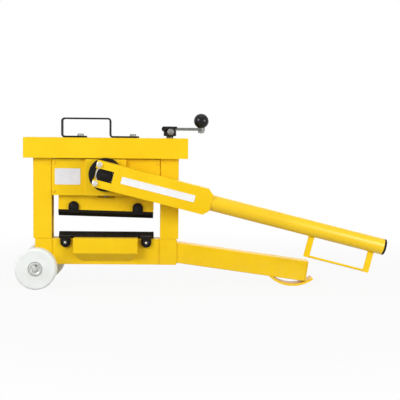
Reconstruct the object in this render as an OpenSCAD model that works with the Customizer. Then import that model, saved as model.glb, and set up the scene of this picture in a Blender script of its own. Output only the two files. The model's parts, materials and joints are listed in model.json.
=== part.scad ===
// Manual block splitter: a welded frame on two wheels and a skid foot, a screw-set head
// with an eccentric shaft and a long lever, and a pair of bolted splitting blades.
// X runs along the machine towards the lever's end, Y from front to back, Z up, floor at zero.

/* [Wheels] */
// Diameter of a wheel
wheel_d = 140; // [120:1:160]
// Width of a wheel at its hub
wheel_w = 48; // [40:1:56]
// Width over both wheels
track_w = 300; // [290:2:330]
// Diameter of the axle rod
axle_d = 20; // [16:1:24]
// Outside diameter of the axle tube welded through the base
axle_tube_d = 40; // [34:1:44]
// How far the axle lies in from the base's left end
axle_inset = 16; // [10:1:24]

/* [Base] */
// How far each end of the base lies inside the post's outer face
base_short = 6.5; // [2:0.5:12]
// Height of the base channel
base_h = 90; // [80:1:100]
// Depth of the base under the posts, front to back
base_d = 70; // [64:1:76]
// Clearance under the base
base_clear = 72; // [66:1:80]
// Wall of the base channel
base_wall = 6; // [4:1:8]
// How far the middle of the base is set back behind its ends
base_step = 4; // [2:1:6]

/* [Posts and cover] */
// Width of a post, along the machine
post_w = 64; // [58:1:70]
// Depth of a post, front to back
post_d = 70; // [66:1:74]
// Height of a post above the base
post_h = 300; // [290:1:310]
// Wall of a post
post_wall = 5; // [4:0.5:6]
// Width of the slot in a post's inner face
post_slot = 42; // [36:1:46]
// Thickness of the cap plate on a post
cap_t = 8; // [6:1:10]
// How far the top cover reaches past a post
cover_over = 31.5; // [24:0.5:40]
// Height of the top cover
cover_h = 70; // [66:1:76]
// Wall of the top cover
cover_wall = 4; // [3:0.5:6]
// How far the cover stands above the post caps
cover_rise = 42; // [38:1:46]

/* [Leg and foot] */
// Length of the leg from the base's end
leg_len = 463; // [420:1:500]
// Height of the leg's section
leg_h = 70; // [60:1:76]
// Depth of the leg's section, front to back
leg_d = 60; // [50:1:66]
// Wall of the leg
leg_wall = 4; // [3:0.5:5]
// How far the leg's middle starts below the base's top
leg_drop = 48; // [44:1:52]
// Height of the leg's far end above the floor, at its middle
leg_end_z = 51; // [48:0.5:54]
// Outside radius of the bent skid
skid_r = 120; // [110:1:130]
// How far the skid's lowest point lies before the leg's end
skid_back = 50; // [46:1:54]
// Depth of the flat land on the skid's lowest part
skid_land = 0.6; // [0.4:0.1:1]

/* [Blades and table] */
// Length of a splitting blade
blade_len = 330; // [310:2:400]
// Room between a blade's end and the post beside it
blade_room = 22.5; // [20.5:0.5:27.5]
// Height of the lower blade above the base
lower_blade_h = 22; // [18:1:24]
// Height of the upper blade below its beam
upper_blade_h = 23; // [18:1:24]
// Width of a blade's blunt edge
blade_edge = 10; // [6:1:14]
// Width of a blade's lug
lug_w = 36; // [30:1:40]
// Thickness of a blade's lug
lug_t = 8; // [6:1:9]
// Length of a blade's lug
lug_len = 30; // [26:1:32]
// Distance from the middle to a lower lug
lower_lug_x = 140; // [136:1:142]
// Distance from the middle to an upper lug
upper_lug_x = 111; // [100:1:120]
// Diameter of a blade bolt
blade_bolt_d = 12; // [10:1:14]
// Length of the block table
table_len = 222; // [200:2:230]
// How far the table stands out from the base's middle
table_out = 31; // [26:1:36]
// Height of the table's front lip
table_lip = 52; // [44:1:56]
// Sheet of the table
table_t = 4; // [3:0.5:5]

/* [Head] */
// Height of the head's cheek plates
cheek_h = 126; // [120:1:130]
// Thickness of a cheek plate
cheek_t = 8; // [6:0.5:8]
// Clear distance between the cheek plates
cheek_gap = 60; // [58:1:61]
// How far the head's upper edge lies below the posts' tops
head_drop = 23; // [20:1:28]
// Length of a bearing plate
bearing_plate_len = 140; // [120:2:150]
// Thickness of a bearing plate
bearing_plate_t = 12; // [10:0.5:12]
// Thickness of the guide plate at each end of the head
guide_t = 13; // [10:1:16]
// Height of the nut block inside a post
nut_block_h = 70; // [60:1:80]
// Height of the shaft's axis above the head's lower edge
shaft_rise = 73; // [71:1:74]

/* [Eccentric shaft and thrust block] */
// Diameter of the shaft in its bearings
shaft_d = 40; // [36:1:42]
// Diameter of the eccentric journal
journal_d = 48; // [44:1:52]
// Offset of the eccentric journal
throw = 8; // [6:0.5:9]
// Angle of the journal below the horizontal with the lever down
throw_start = 37.5; // [30:0.5:40]
// Diameter of the boss that the lever sits on
boss_d = 62; // [54:1:64]
// Diameter of the flange that carries the lever
flange_d = 116; // [110:1:120]
// Thickness of the flange
flange_t = 8; // [6:1:10]
// Width of the thrust block
block_w = 90; // [84:1:100]
// Diameter of the pin that the upper beam rocks on
rock_pin_d = 20; // [16:1:22]
// Height of the rocking pin above the head's lower edge
rock_pin_rise = 14; // [12:1:15]
// Tilt of the upper beam as it hangs
beam_tilt = 1.4; // [0:0.1:2]

/* [Upper beam] */
// Thickness of the upper beam
beam_t = 40; // [36:1:42]
// Height of the upper beam's part that shows below the head
beam_show = 54; // [50:1:56]
// Height of the upper beam's part inside the head
beam_hide = 18; // [14:1:20]
// Thickness of the beam's lug between the block's ears
beam_lug_t = 20; // [16:1:24]

/* [Lever] */
// Tilt of the lever below the horizontal
lever_tilt = 14; // [10:0.5:14]
// Height of the lever's box section
lever_h = 90; // [84:1:94]
// Depth of the lever's box section, front to back
lever_d = 60; // [58:1:62]
// Wall of the lever's box section
lever_wall = 5; // [4:0.5:6]
// How far the lever's fork reaches behind the shaft
fork_back = 34; // [30:1:40]
// Length of the fork's slot past the shaft
fork_front = 30; // [26:1:40]
// Width of the fork's slot
fork_slot = 40; // [36:1:46]
// Length of the lever's box past the shaft
lever_len = 372; // [360:2:390]
// Length of the box's tapered nose
nose_len = 18; // [14:1:22]
// Diameter of the handle tube
tube_d = 55; // [50:1:57]
// Wall of the handle tube
tube_wall = 4; // [3:0.5:5]
// Distance from the shaft to the handle tube's end
tube_end = 983; // [940:1:1000]
// Length of the handle tube inside the box
tube_in = 60; // [40:1:80]
// Thickness of the end plug's rim
plug_rim = 8; // [5:1:10]
// Distance from the shaft to the hand loop's middle
loop_x = 842; // [820:1:860]
// Length of the hand loop
loop_len = 211; // [190:1:220]
// Drop of the hand loop below the tube
loop_drop = 72; // [60:1:80]
// Width of the hand loop's side bars
loop_bar_w = 20; // [16:1:24]
// Thickness of the hand loop's side bars, front to back
loop_bar_t = 8; // [6:1:10]
// Diameter of the hand loop's rod
loop_rod_d = 8; // [6:0.5:8]

/* [Spindles and crank] */
// Diameter of a spindle
spindle_d = 24; // [20:1:26]
// Number of teeth on a sprocket
sprocket_teeth = 12; // [10:1:14]
// Distance from the spindle to the knob
crank_r = 109; // [100:1:112]
// Thickness of the crank arm
crank_arm_t = 10; // [8:1:12]
// Width of the crank arm
crank_arm_w = 25; // [20:1:30]
// Diameter of the crank's hub
crank_hub_d = 44; // [40:1:48]
// Height of the crank's hub
crank_hub_h = 36; // [34:1:40]
// Diameter of the ball knob
knob_d = 52; // [44:1:54]

/* [Carry handle and plates] */
// Distance from the middle to the carry handle's left leg
carry_left = 157; // [150:1:164]
// Length of the carry handle's arch
carry_len = 173; // [160:1:180]
// Height of the carry handle's arch
carry_h = 69; // [60:1:76]
// Thickness of the carry handle's strap
strap_t = 6; // [5:0.5:7]
// Width of the carry handle's strap
strap_w = 30; // [24:1:36]
// Length of the carry handle's left foot
left_foot = 88; // [80:1:100]
// Length of the carry handle's right foot
right_foot = 102; // [96:1:112]
// Distance from the middle to a carry handle bolt
carry_bolt_x = 91; // [88:1:93]
// Diameter of a carry handle bolt
carry_bolt_d = 12; // [10:1:14]
// Length of the data plate
plate_len = 88; // [70:1:96]
// Height of the data plate
plate_h = 56; // [40:1:60]
// Length of the label on the lever
label_len = 255; // [200:1:270]
// Height of the label on the lever
label_h = 24; // [18:1:28]
// Thickness of the plate and the label
label_t = 0.8; // [0.6:0.1:1]

/* [Hidden] */
// Clearances
run_gap = 0.05;
slide_gap = 1;
seat_gap = 0.3;
bolt_gap = 0.5;
through = 1;
$fn = 64;

// Fasteners and small parts: a hexagon's width and height are shares of its bolt's diameter
nut_size = 1.6;
head_t = 0.65;
thread_out = 3;
washer_t = 2.5;
bush_wall = 7;
collar_wall = 4;
collar_len = 14;
boss_sink = 18;
ring_in = 3;
ring_t = 4;
chain_rise = 15;

// Wheels: the hub cap lies in a hollow of the wheel's outer face
wheel_edge = 10;
wheel_bush_wall = 6;
hub_cap_d = 46;
hub_cap_room = 2;
cap_recess = 9;
cap_lift = 0.5;
cap_disc_t = 4;
cap_crown_d = 30;
cap_crown_t = 7.5;
rod_short = 2;

// Places along X, from the middle of the jaws
post_gap = blade_len + 2 * blade_room;
base_len = post_gap + 2 * (post_w - base_short);
cover_len = post_gap + 2 * (post_w + cover_over);
post_x = post_gap / 2 + post_w / 2;
base_end_x = base_len / 2;
axle_x = -base_end_x + axle_inset;
lever_tip_x = (tube_end + plug_rim) * cos(lever_tilt) + tube_d / 2 * sin(lever_tilt);
middle_x = (axle_x - wheel_d / 2 + lever_tip_x) / 2;

// Heights
axle_z = wheel_d / 2;
base_top = base_clear + base_h;
post_top = base_top + post_h;
cover_top = post_top + cap_t + cover_rise;
cover_low = cover_top - cover_h;
head_low = post_top - head_drop - cheek_h;
head_high = head_low + cheek_h;
shaft_z = head_low + shaft_rise;
pin_z = head_low + rock_pin_rise;
beam_low = head_low - beam_show;
beam_high = head_low + beam_hide;
table_top = base_top + table_t;
chain_z = post_top + cap_t + chain_rise;

// Depths, front to back
mid_d = base_d - 2 * base_step;
cheek_out = cheek_gap / 2 + cheek_t;
bearing_out = cheek_out + bearing_plate_t;
cover_in = bearing_out + slide_gap;
cover_d = 2 * (cover_in + cover_wall);
flange_back = cover_d / 2 + slide_gap;
flange_front = flange_back + flange_t;
lever_back = flange_front;
lever_front = lever_back + lever_d;
lever_y = lever_back + lever_d / 2;
boss_front = lever_front - boss_sink;
wheel_in = track_w / 2 - wheel_w;
collar_d = shaft_d + 2 * collar_wall;

yellow = [0.97, 0.77, 0.10];
black = [0.10, 0.09, 0.09];
steel = [0.70, 0.70, 0.71];
bronze = [0.72, 0.55, 0.30];
nylon = [0.93, 0.93, 0.91];

// Shared shapes

// A bar along Y, centred on the XZ place, from y0 to y1
module bar_y(x, z, d, y0, y1) {
    translate([x, y0, z]) rotate([-90, 0, 0]) cylinder(d = d, h = y1 - y0);
}

// A block from its two corners
module block(low, high) {
    translate(low) cube(high - low);
}

// An outline drawn in X and Z, drawn out along Y from y0 to y1
module slab_y(y0, y1) {
    translate([0, y1, 0]) rotate([90, 0, 0]) linear_extrude(height = y1 - y0) children();
}

// An outline drawn in Y and Z, drawn out along X about the middle
module slab_x(len) {
    rotate([90, 0, 90]) linear_extrude(height = len, center = true) children();
}

// A hexagon head or nut standing on z = 0
module hexagon(d) {
    cylinder(d = d * nut_size / cos(30), h = d * head_t, $fn = 6);
}

// A bolt along Y through y0 to y1, with a head in front and a nut behind
module bolt_y(x, z, d, y0, y1) {
    bar_y(x, z, d, y0, y1 + d * head_t + thread_out);
    translate([x, y0, z]) rotate([90, 0, 0]) hexagon(d);
    translate([x, y1, z]) rotate([-90, 0, 0]) hexagon(d);
}

module both_sides() {
    children();
    mirror([1, 0, 0]) children();
}

module front_and_back() {
    children();
    mirror([0, 1, 0]) children();
}

// Derived places of single parts
leg_start_z = base_top - leg_drop;
leg_tilt = asin((leg_start_z - leg_end_z) / leg_len);
leg_root = 20;
end_plate_t = 4;
leg_corner_x = base_end_x + leg_len * cos(leg_tilt) - leg_h / 2 * sin(leg_tilt);
leg_corner_z = leg_start_z - leg_len * sin(leg_tilt) - leg_h / 2 * cos(leg_tilt);
skid_x = base_end_x + leg_len * cos(leg_tilt) - skid_back;
skid_z = skid_r - skid_land;
skid_in_r = norm([leg_corner_x - skid_x, skid_z - leg_corner_z]) - seat_gap;
skid_left_angle = 44;
skid_tip_angle = 37;
blade_half = 18;
blade_flank = 8;
lug_flange = 10;
lower_bolt_z = base_top - lug_len + lug_w / 2;
upper_bolt_z = beam_low + lug_len - lug_w / 2;
table_clear = 4;
table_seat_y = blade_half + table_clear;
cheek_half = post_gap / 2 - slide_gap;
nut_block_w = post_w - 2 * post_wall - 2 * slide_gap;
nut_block_d = post_d - 2 * post_wall - 2 * slide_gap;
nut_wall = 6;
nut_d = spindle_d + 2 * nut_wall;
nut_flange = 4;
nut_flange_h = 6;
guide_inset = 2;
spindle_foot = 3;
seat_h = 14;
bush_d = shaft_d + 2 * bush_wall;
journal_x = throw * cos(throw_start);
journal_z = shaft_z - throw * sin(throw_start);
block_t = cheek_gap - 2 * slide_gap;
ear_d = 2 * rock_pin_d;
ear_in = beam_lug_t / 2 + slide_gap / 2;
block_low = pin_z + ear_d / 2 + slide_gap;
block_roof = 10;
block_high = shaft_z + journal_d / 2 + throw + block_roof;
ear_room = 10;
ear_floor = 4;
lever_bolt_d = 14;
lever_bolt_x = -24;
lever_bolt_z = lever_h / 4 + fork_slot / 4;
chain_pitch = 15.875;
pitch_r = chain_pitch / (2 * sin(180 / sprocket_teeth));
roller_d = 8;
chain_half = 4.5;
chain_plate_t = 2;
tooth_h = 4;
sprocket_tip = pitch_r - roller_d / 2 - seat_gap;
sprocket_root = sprocket_tip - tooth_h;
hub_lift = 5;
hub_rim = 8;
hub_lip = 4;
hub_roof = 4;
hub_low = cover_top + hub_lift;
hub_top = hub_low + crank_hub_h;
arm_top = hub_top - hub_roof;
arm_low = arm_top - crank_arm_t;
knob_stud_d = 12;
crank_screw_d = 14;
crank_screw_z = (crank_hub_h - hub_roof) / 2;
head_screw_d = 8;
screw_in = 14;
plate_x = 132;
plate_drop = 8;
label_x = 60;
nose_lip = 2;
strap_bend_r = 12;

// Frame

module base_channel() {
    color(yellow) difference() {
        union() {
            both_sides() block([post_gap / 2, -base_d / 2, base_clear], [base_end_x, base_d / 2, base_top]);
            block([-post_gap / 2, -mid_d / 2, base_clear], [post_gap / 2, mid_d / 2, base_top]);
        }
        block([-base_end_x + base_wall, -mid_d / 2 + base_wall, base_clear - through],
              [base_end_x - base_wall, mid_d / 2 - base_wall, base_top - base_wall]);
        bar_y(axle_x, axle_z, axle_tube_d, -base_d, base_d);
        both_sides() bar_y(lower_lug_x, lower_bolt_z, blade_bolt_d + bolt_gap, -base_d, base_d);
    }
}

// A post is a channel with a slot along its inner face, in which the head's guide runs
module post() {
    in_x = post_gap / 2;
    out_x = in_x + post_w;
    color(yellow) difference() {
        block([in_x, -post_d / 2, base_top], [out_x, post_d / 2, post_top]);
        block([in_x + post_wall, -post_d / 2 + post_wall, base_top - through],
              [out_x - post_wall, post_d / 2 - post_wall, post_top + through]);
        block([in_x - through, -post_slot / 2, base_top - through],
              [in_x + post_wall + through, post_slot / 2, post_top + through]);
    }
}

module left_post() {
    mirror([1, 0, 0]) post();
}

module right_post() {
    post();
}

module post_caps() {
    color(yellow) both_sides() difference() {
        block([post_gap / 2, -cover_in, post_top], [post_gap / 2 + post_w, cover_in, post_top + cap_t]);
        translate([post_x, 0, post_top - through]) cylinder(d = nut_d, h = cap_t + 2 * through);
    }
}

module top_cover() {
    color(yellow) difference() {
        block([-cover_len / 2, -cover_d / 2, cover_low], [cover_len / 2, cover_d / 2, cover_top]);
        block([-cover_len / 2 + cover_wall, -cover_in, cover_low - through],
              [cover_len / 2 - cover_wall, cover_in, cover_top - cover_wall]);
        translate([post_x, 0, cover_low]) cylinder(d = spindle_d + 4 * slide_gap, h = cover_h + through);
        both_sides() translate([carry_bolt_x, 0, cover_low])
            cylinder(d = carry_bolt_d + bolt_gap, h = cover_h + through);
    }
}

// The leg's full section, from inside the base to its end
module leg_bar(len, d, h) {
    translate([base_end_x, 0, leg_start_z]) rotate([0, leg_tilt, 0])
        translate([-leg_root, -d / 2, -h / 2]) cube([leg_root + len, d, h]);
}

module support_leg() {
    tube_len = leg_len - end_plate_t;
    color(yellow) difference() {
        leg_bar(tube_len, leg_d, leg_h);
        leg_bar(tube_len + through, leg_d - 2 * leg_wall, leg_h - 2 * leg_wall);
        block([0, -leg_d, 0], [base_end_x, leg_d, base_top]);
    }
}

module leg_end_plate() {
    color(yellow) translate([base_end_x, 0, leg_start_z]) rotate([0, leg_tilt, 0])
        translate([leg_len - end_plate_t, -leg_d / 2, -leg_h / 2]) cube([end_plate_t, leg_d, leg_h]);
}

// The skid is one bent strip: welded under the leg, bowed to the floor, past the leg's lower corner
module skid_foot() {
    reach = 2 * skid_r;
    color(yellow) difference() {
        translate([skid_x, 0, skid_z]) slab_y(-leg_d / 2, leg_d / 2) intersection() {
            difference() {
                circle(r = skid_r, $fn = 180);
                circle(r = skid_in_r, $fn = 180);
            }
            polygon([
                [0, 0],
                [-reach * sin(skid_left_angle), -reach * cos(skid_left_angle)],
                [0, -reach],
                [reach * sin(skid_tip_angle), -reach * cos(skid_tip_angle)]
            ]);
        }
        leg_bar(leg_len, leg_d + 2 * through, leg_h);
        block([skid_x - skid_r, -leg_d, -skid_r], [skid_x + skid_r, leg_d, 0]);
    }
}

// Wheels and axle

module axle_tube() {
    half = wheel_in - washer_t - 2 * seat_gap;
    color(yellow) difference() {
        bar_y(axle_x, axle_z, axle_tube_d, -half, half);
        bar_y(axle_x, axle_z, axle_d, -half - through, half + through);
    }
}

module axle_rod() {
    color(steel) bar_y(axle_x, axle_z, axle_d, -track_w / 2 + rod_short, track_w / 2 - rod_short);
}

// A wheel lies on Z here: round-edged, with a hollow for the cap in its outer face
module wheel_body() {
    bush_out = axle_d + 2 * wheel_bush_wall;
    flat_r = wheel_d / 2 - wheel_edge;
    difference() {
        rotate_extrude($fn = 96) difference() {
            union() {
                square([flat_r, wheel_w]);
                translate([0, wheel_edge]) square([wheel_d / 2, wheel_w - 2 * wheel_edge]);
                for (z = [wheel_edge, wheel_w - wheel_edge]) translate([flat_r, z]) circle(r = wheel_edge);
            }
            translate([-wheel_d, -wheel_w]) square([wheel_d, 3 * wheel_w]);
        }
        translate([0, 0, -through]) cylinder(d = bush_out, h = wheel_w + 2 * through);
        translate([0, 0, wheel_w - cap_recess])
            cylinder(d = hub_cap_d + 2 * hub_cap_room, h = cap_recess + through);
    }
}

module wheel_bush() {
    difference() {
        cylinder(d = axle_d + 2 * wheel_bush_wall, h = wheel_w - cap_recess);
        translate([0, 0, -through]) cylinder(d = axle_d + 2 * run_gap, h = wheel_w);
    }
}

// Puts a piece modelled outwards along Z on the front end of the axle
module on_front_axle() {
    translate([axle_x, -wheel_in, axle_z]) rotate([90, 0, 0]) children();
}

module front_wheel() {
    color(nylon) on_front_axle() wheel_body();
}

module rear_wheel() {
    color(nylon) mirror([0, 1, 0]) on_front_axle() wheel_body();
}

module front_wheel_bush() {
    color(steel) on_front_axle() wheel_bush();
}

module rear_wheel_bush() {
    color(steel) mirror([0, 1, 0]) on_front_axle() wheel_bush();
}

module axle_washers() {
    color(steel) front_and_back() on_front_axle() translate([0, 0, -washer_t - seat_gap]) difference() {
        cylinder(d = axle_tube_d, h = washer_t);
        translate([0, 0, -through]) cylinder(d = axle_d, h = washer_t + 2 * through);
    }
}

module axle_caps() {
    cap_low = wheel_w - cap_recess + cap_lift;
    color(steel) front_and_back() on_front_axle() translate([0, 0, cap_low]) difference() {
        union() {
            cylinder(d = hub_cap_d, h = cap_disc_t);
            cylinder(d = cap_crown_d, h = cap_crown_t);
        }
        translate([0, 0, -through]) cylinder(d = axle_d, h = wheel_w - rod_short - cap_low + through);
    }
}

// Block table and blades

// A folded sheet: a top that lies on the base, a lip, and a return that slopes back to the base
module table_sheet() {
    near = -mid_d / 2;
    far = near - table_out;
    lip_low = table_top - table_lip;
    foot = lip_low - table_out;
    fold = table_t / 2;
    difference() {
        slab_x(table_len) difference() {
            polygon([
                [-table_seat_y, base_top], [-table_seat_y, table_top], [far, table_top],
                [far, lip_low], [near, foot], [near, base_top]
            ]);
            polygon([
                [near + through, base_top], [near + through, foot + table_t + fold],
                [near, foot + table_t + fold], [far + table_t, lip_low + fold], [far + table_t, base_top]
            ]);
        }
        both_sides() translate([table_len / 2, far - through, lip_low - fold]) rotate([0, 45, 0])
            translate([0, 0, -table_len]) cube([table_len, 2 * table_out, table_len]);
    }
}

module front_table() {
    color(yellow) table_sheet();
}

module rear_table() {
    color(yellow) mirror([0, 1, 0]) table_sheet();
}

// A blade stands on z = 0 with its edge up. Its lugs hook over the carrier's faces, half_d from the middle.
module blade(h, half_d, lug_x) {
    difference() {
        union() {
            slab_x(blade_len) polygon([
                [-blade_half, 0], [blade_half, 0], [blade_half, blade_flank],
                [blade_edge / 2, h], [-blade_edge / 2, h], [-blade_half, blade_flank]
            ]);
            both_sides() front_and_back() {
                block([lug_x - lug_w / 2, -half_d - lug_t, 0], [lug_x + lug_w / 2, -blade_edge, lug_flange]);
                block([lug_x - lug_w / 2, -half_d - lug_t, lug_w / 2 - lug_len],
                      [lug_x + lug_w / 2, -half_d, lug_flange]);
                bar_y(lug_x, lug_w / 2 - lug_len, lug_w, -half_d - lug_t, -half_d);
            }
        }
        both_sides() bar_y(lug_x, lug_w / 2 - lug_len, blade_bolt_d + bolt_gap, -base_d, base_d);
    }
}

module lower_blade() {
    color(black) translate([0, 0, base_top]) blade(lower_blade_h, mid_d / 2, lower_lug_x);
}

module lower_blade_bolts() {
    reach = mid_d / 2 + lug_t;
    color(black) both_sides() bolt_y(lower_lug_x, lower_bolt_z, blade_bolt_d, -reach, reach);
}

// Head

module cheek() {
    difference() {
        block([-cheek_half, -cheek_out, head_low], [cheek_half, -cheek_gap / 2, head_high]);
        bar_y(0, shaft_z, bush_d, -cheek_out - through, 0);
        both_sides() for (z = [head_low, head_high]) head_screw_hole(z);
    }
}

// The screws lie screw_in from a cheek's corners
module head_screw_hole(edge_z) {
    z = edge_z + (edge_z == head_low ? screw_in : -screw_in);
    bar_y(cheek_half - guide_t / 2, z, head_screw_d, -cheek_out - through, -cheek_gap / 2 + screw_in);
}

module head_front_cheek() {
    color(yellow) cheek();
}

module head_rear_cheek() {
    color(yellow) mirror([0, 1, 0]) cheek();
}

// A guide closes the head's end, and carries a spindle nut inside the post
module guide() {
    half_slot = post_slot / 2 - slide_gap;
    color(yellow) difference() {
        union() {
            block([cheek_half - guide_t, -cheek_gap / 2, head_low + guide_inset],
                  [cheek_half, cheek_gap / 2, head_high - guide_inset]);
            block([cheek_half, -half_slot, shaft_z - nut_block_h / 2], [post_x, half_slot, shaft_z + nut_block_h / 2]);
            block([post_x - nut_block_w / 2, -nut_block_d / 2, shaft_z - nut_block_h / 2],
                  [post_x + nut_block_w / 2, nut_block_d / 2, shaft_z + nut_block_h / 2]);
        }
        translate([post_x, 0, shaft_z - nut_block_h]) cylinder(d = nut_d, h = 2 * nut_block_h);
        front_and_back() for (z = [head_low, head_high]) head_screw_hole(z);
    }
}

module left_guide() {
    mirror([1, 0, 0]) guide();
}

module right_guide() {
    guide();
}

module bearing_plate() {
    difference() {
        block([-bearing_plate_len / 2, -bearing_out, head_low], [bearing_plate_len / 2, -cheek_out, head_high]);
        bar_y(0, shaft_z, bush_d, -bearing_out - through, 0);
    }
}

module front_bearing_plate() {
    color(yellow) bearing_plate();
}

module rear_bearing_plate() {
    color(yellow) mirror([0, 1, 0]) bearing_plate();
}

module shaft_bush() {
    difference() {
        bar_y(0, shaft_z, bush_d, -bearing_out, -cheek_gap / 2);
        bar_y(0, shaft_z, shaft_d + 2 * run_gap, -bearing_out - through, 0);
    }
}

module front_shaft_bush() {
    color(bronze) shaft_bush();
}

module rear_shaft_bush() {
    color(bronze) mirror([0, 1, 0]) shaft_bush();
}

module spindle_nuts() {
    color(bronze) both_sides() translate([post_x, 0, shaft_z - nut_block_h / 2]) difference() {
        union() {
            cylinder(d = nut_d, h = nut_block_h);
            translate([0, 0, -nut_flange_h]) cylinder(d = nut_d + 2 * nut_flange, h = nut_flange_h);
        }
        translate([0, 0, -nut_block_h]) cylinder(d = spindle_d + 2 * run_gap, h = 3 * nut_block_h);
    }
}

module head_screws() {
    x = cheek_half - guide_t / 2;
    color(yellow) both_sides() front_and_back() for (z = [head_low + screw_in, head_high - screw_in]) {
        bar_y(x, z, head_screw_d, -cheek_out, -cheek_gap / 2 + screw_in);
        translate([x, -cheek_out, z]) rotate([90, 0, 0]) cylinder(d = 1.5 * head_screw_d, h = head_screw_d / 2);
    }
}

module data_plate() {
    color(steel) block([-plate_x - plate_len / 2, -cheek_out - label_t, shaft_z - plate_drop - plate_h / 2],
                       [-plate_x + plate_len / 2, -cheek_out, shaft_z - plate_drop + plate_h / 2]);
}

// Eccentric shaft

module eccentric_shaft() {
    color(black) {
        bar_y(0, shaft_z, shaft_d, -flange_back, -block_t / 2);
        bar_y(journal_x, journal_z, journal_d, -block_t / 2, block_t / 2);
        bar_y(0, shaft_z, shaft_d, block_t / 2, bearing_out + collar_len);
        bar_y(0, shaft_z, collar_d, -flange_back, -bearing_out - seat_gap);
        bar_y(0, shaft_z, boss_d, -boss_front, -flange_back);
    }
}

module shaft_collar() {
    color(steel) difference() {
        bar_y(0, shaft_z, collar_d, bearing_out + seat_gap, bearing_out + collar_len);
        bar_y(0, shaft_z, shaft_d, 0, bearing_out + 2 * collar_len);
    }
}

// Turns a piece drawn along X from the shaft to lie along the lever
module at_lever() {
    translate([0, 0, shaft_z]) rotate([0, lever_tilt, 0]) children();
}

module lever_bolt_holes() {
    for (side = [-1, 1])
        bar_y(lever_bolt_x, side * lever_bolt_z, lever_bolt_d, -lever_front - through, 0);
}

module lever_flange() {
    color(black) at_lever() difference() {
        bar_y(0, 0, flange_d, -flange_front, -flange_back);
        bar_y(0, 0, boss_d, -flange_front - through, 0);
        lever_bolt_holes();
    }
}

module lever_box() {
    nose_x = lever_len - nose_len;
    nose_half = tube_d / 2 + nose_lip;
    half = lever_h / 2;
    color(yellow) at_lever() difference() {
        slab_y(-lever_front, -lever_back) polygon([
            [-fork_back, -half], [nose_x, -half], [lever_len, -nose_half],
            [lever_len, nose_half], [nose_x, half], [-fork_back, half]
        ]);
        block([-fork_back - through, -lever_front + lever_wall, -half + lever_wall],
              [nose_x - lever_wall, -lever_back - lever_wall, half - lever_wall]);
        block([-fork_back - through, -lever_front - through, -fork_slot / 2],
              [fork_front, -lever_front + 2 * lever_wall, fork_slot / 2]);
        translate([0, -lever_y, 0]) rotate([0, 90, 0]) cylinder(d = tube_d, h = lever_len + through);
        bar_y(0, 0, boss_d, -boss_front, 0);
        lever_bolt_holes();
    }
}

module lever_bolts() {
    color(steel) at_lever() for (side = [-1, 1]) {
        bar_y(lever_bolt_x, side * lever_bolt_z, lever_bolt_d, -lever_front, -flange_back - seat_gap);
        translate([lever_bolt_x, -lever_front, side * lever_bolt_z]) rotate([90, 0, 0]) hexagon(lever_bolt_d);
    }
}

module along_tube(x0, x1, d) {
    translate([x0, -lever_y, 0]) rotate([0, 90, 0]) cylinder(d = d, h = x1 - x0);
}

module handle_tube() {
    color(yellow) at_lever() difference() {
        along_tube(lever_len - tube_in, tube_end, tube_d);
        along_tube(0, tube_end + through, tube_d - 2 * tube_wall);
    }
}

module hand_loop() {
    low = -tube_d / 2 - loop_drop;
    color(yellow) at_lever() difference() {
        union() {
            for (x = [loop_x - loop_len / 2, loop_x + loop_len / 2])
                block([x - loop_bar_w / 2, -lever_y - loop_bar_t / 2, low],
                      [x + loop_bar_w / 2, -lever_y + loop_bar_t / 2, 0]);
            translate([loop_x - loop_len / 2, -lever_y, low + loop_rod_d / 2]) rotate([0, 90, 0])
                cylinder(d = loop_rod_d, h = loop_len);
        }
        along_tube(0, tube_end, tube_d);
    }
}

module end_plug() {
    color(black) at_lever() {
        along_tube(tube_end - 3 * plug_rim, tube_end, tube_d - 2 * tube_wall);
        along_tube(tube_end, tube_end + plug_rim, tube_d);
    }
}

module lever_label() {
    color("white") at_lever() block([label_x, -lever_front - label_t, -label_h / 2],
                                    [label_x + label_len, -lever_front, label_h / 2]);
}

module shaft_end_ring() {
    color(black) translate([0, -boss_front, shaft_z]) rotate([90, 0, 0]) {
        cylinder(d = boss_d - 2 * ring_in, h = ring_t);
        hexagon(lever_bolt_d - 2);
    }
}

// Thrust block and upper beam

// The block rides on the journal in a level slot, and its two ears carry the rocking pin
module thrust_block() {
    slot_d = journal_d + 2 * seat_gap;
    slot_x = [journal_x - seat_gap, throw + seat_gap];
    color(steel) difference() {
        union() {
            block([-block_w / 2, -block_t / 2, block_low], [block_w / 2, block_t / 2, block_high]);
            front_and_back() {
                block([-ear_d / 2, -block_t / 2, pin_z], [ear_d / 2, -ear_in, block_low + through]);
                bar_y(0, pin_z, ear_d, -block_t / 2, -ear_in);
            }
        }
        for (x = slot_x) bar_y(x, journal_z, slot_d, -block_t, block_t);
        block([slot_x[0], -block_t, journal_z - slot_d / 2], [slot_x[1], block_t, journal_z + slot_d / 2]);
        bar_y(0, pin_z, rock_pin_d, -block_t, block_t);
    }
}

module rocking_pin() {
    color(steel) bar_y(0, pin_z, rock_pin_d, -block_t / 2, block_t / 2);
}

// Tilts a piece about the rocking pin, as the beam hangs
module at_beam() {
    translate([0, 0, pin_z]) rotate([0, beam_tilt, 0]) translate([0, 0, -pin_z]) children();
}

module upper_beam() {
    pocket = ear_d / 2 + ear_room;
    color(yellow) at_beam() difference() {
        union() {
            block([-blade_len / 2, -beam_t / 2, beam_low], [blade_len / 2, beam_t / 2, beam_high]);
            bar_y(0, pin_z, ear_d, -beam_lug_t / 2, beam_lug_t / 2);
        }
        front_and_back() block([-pocket, -beam_t, pin_z - ear_d / 2 - ear_floor],
                               [pocket, -beam_lug_t / 2, pin_z + ear_d]);
        bar_y(0, pin_z, rock_pin_d + 2 * run_gap, -beam_t, beam_t);
        both_sides() bar_y(upper_lug_x, upper_bolt_z, blade_bolt_d + bolt_gap, -beam_t, beam_t);
    }
}

module upper_blade() {
    color(black) at_beam() translate([0, 0, beam_low]) mirror([0, 0, 1])
        blade(upper_blade_h, beam_t / 2, upper_lug_x);
}

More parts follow.
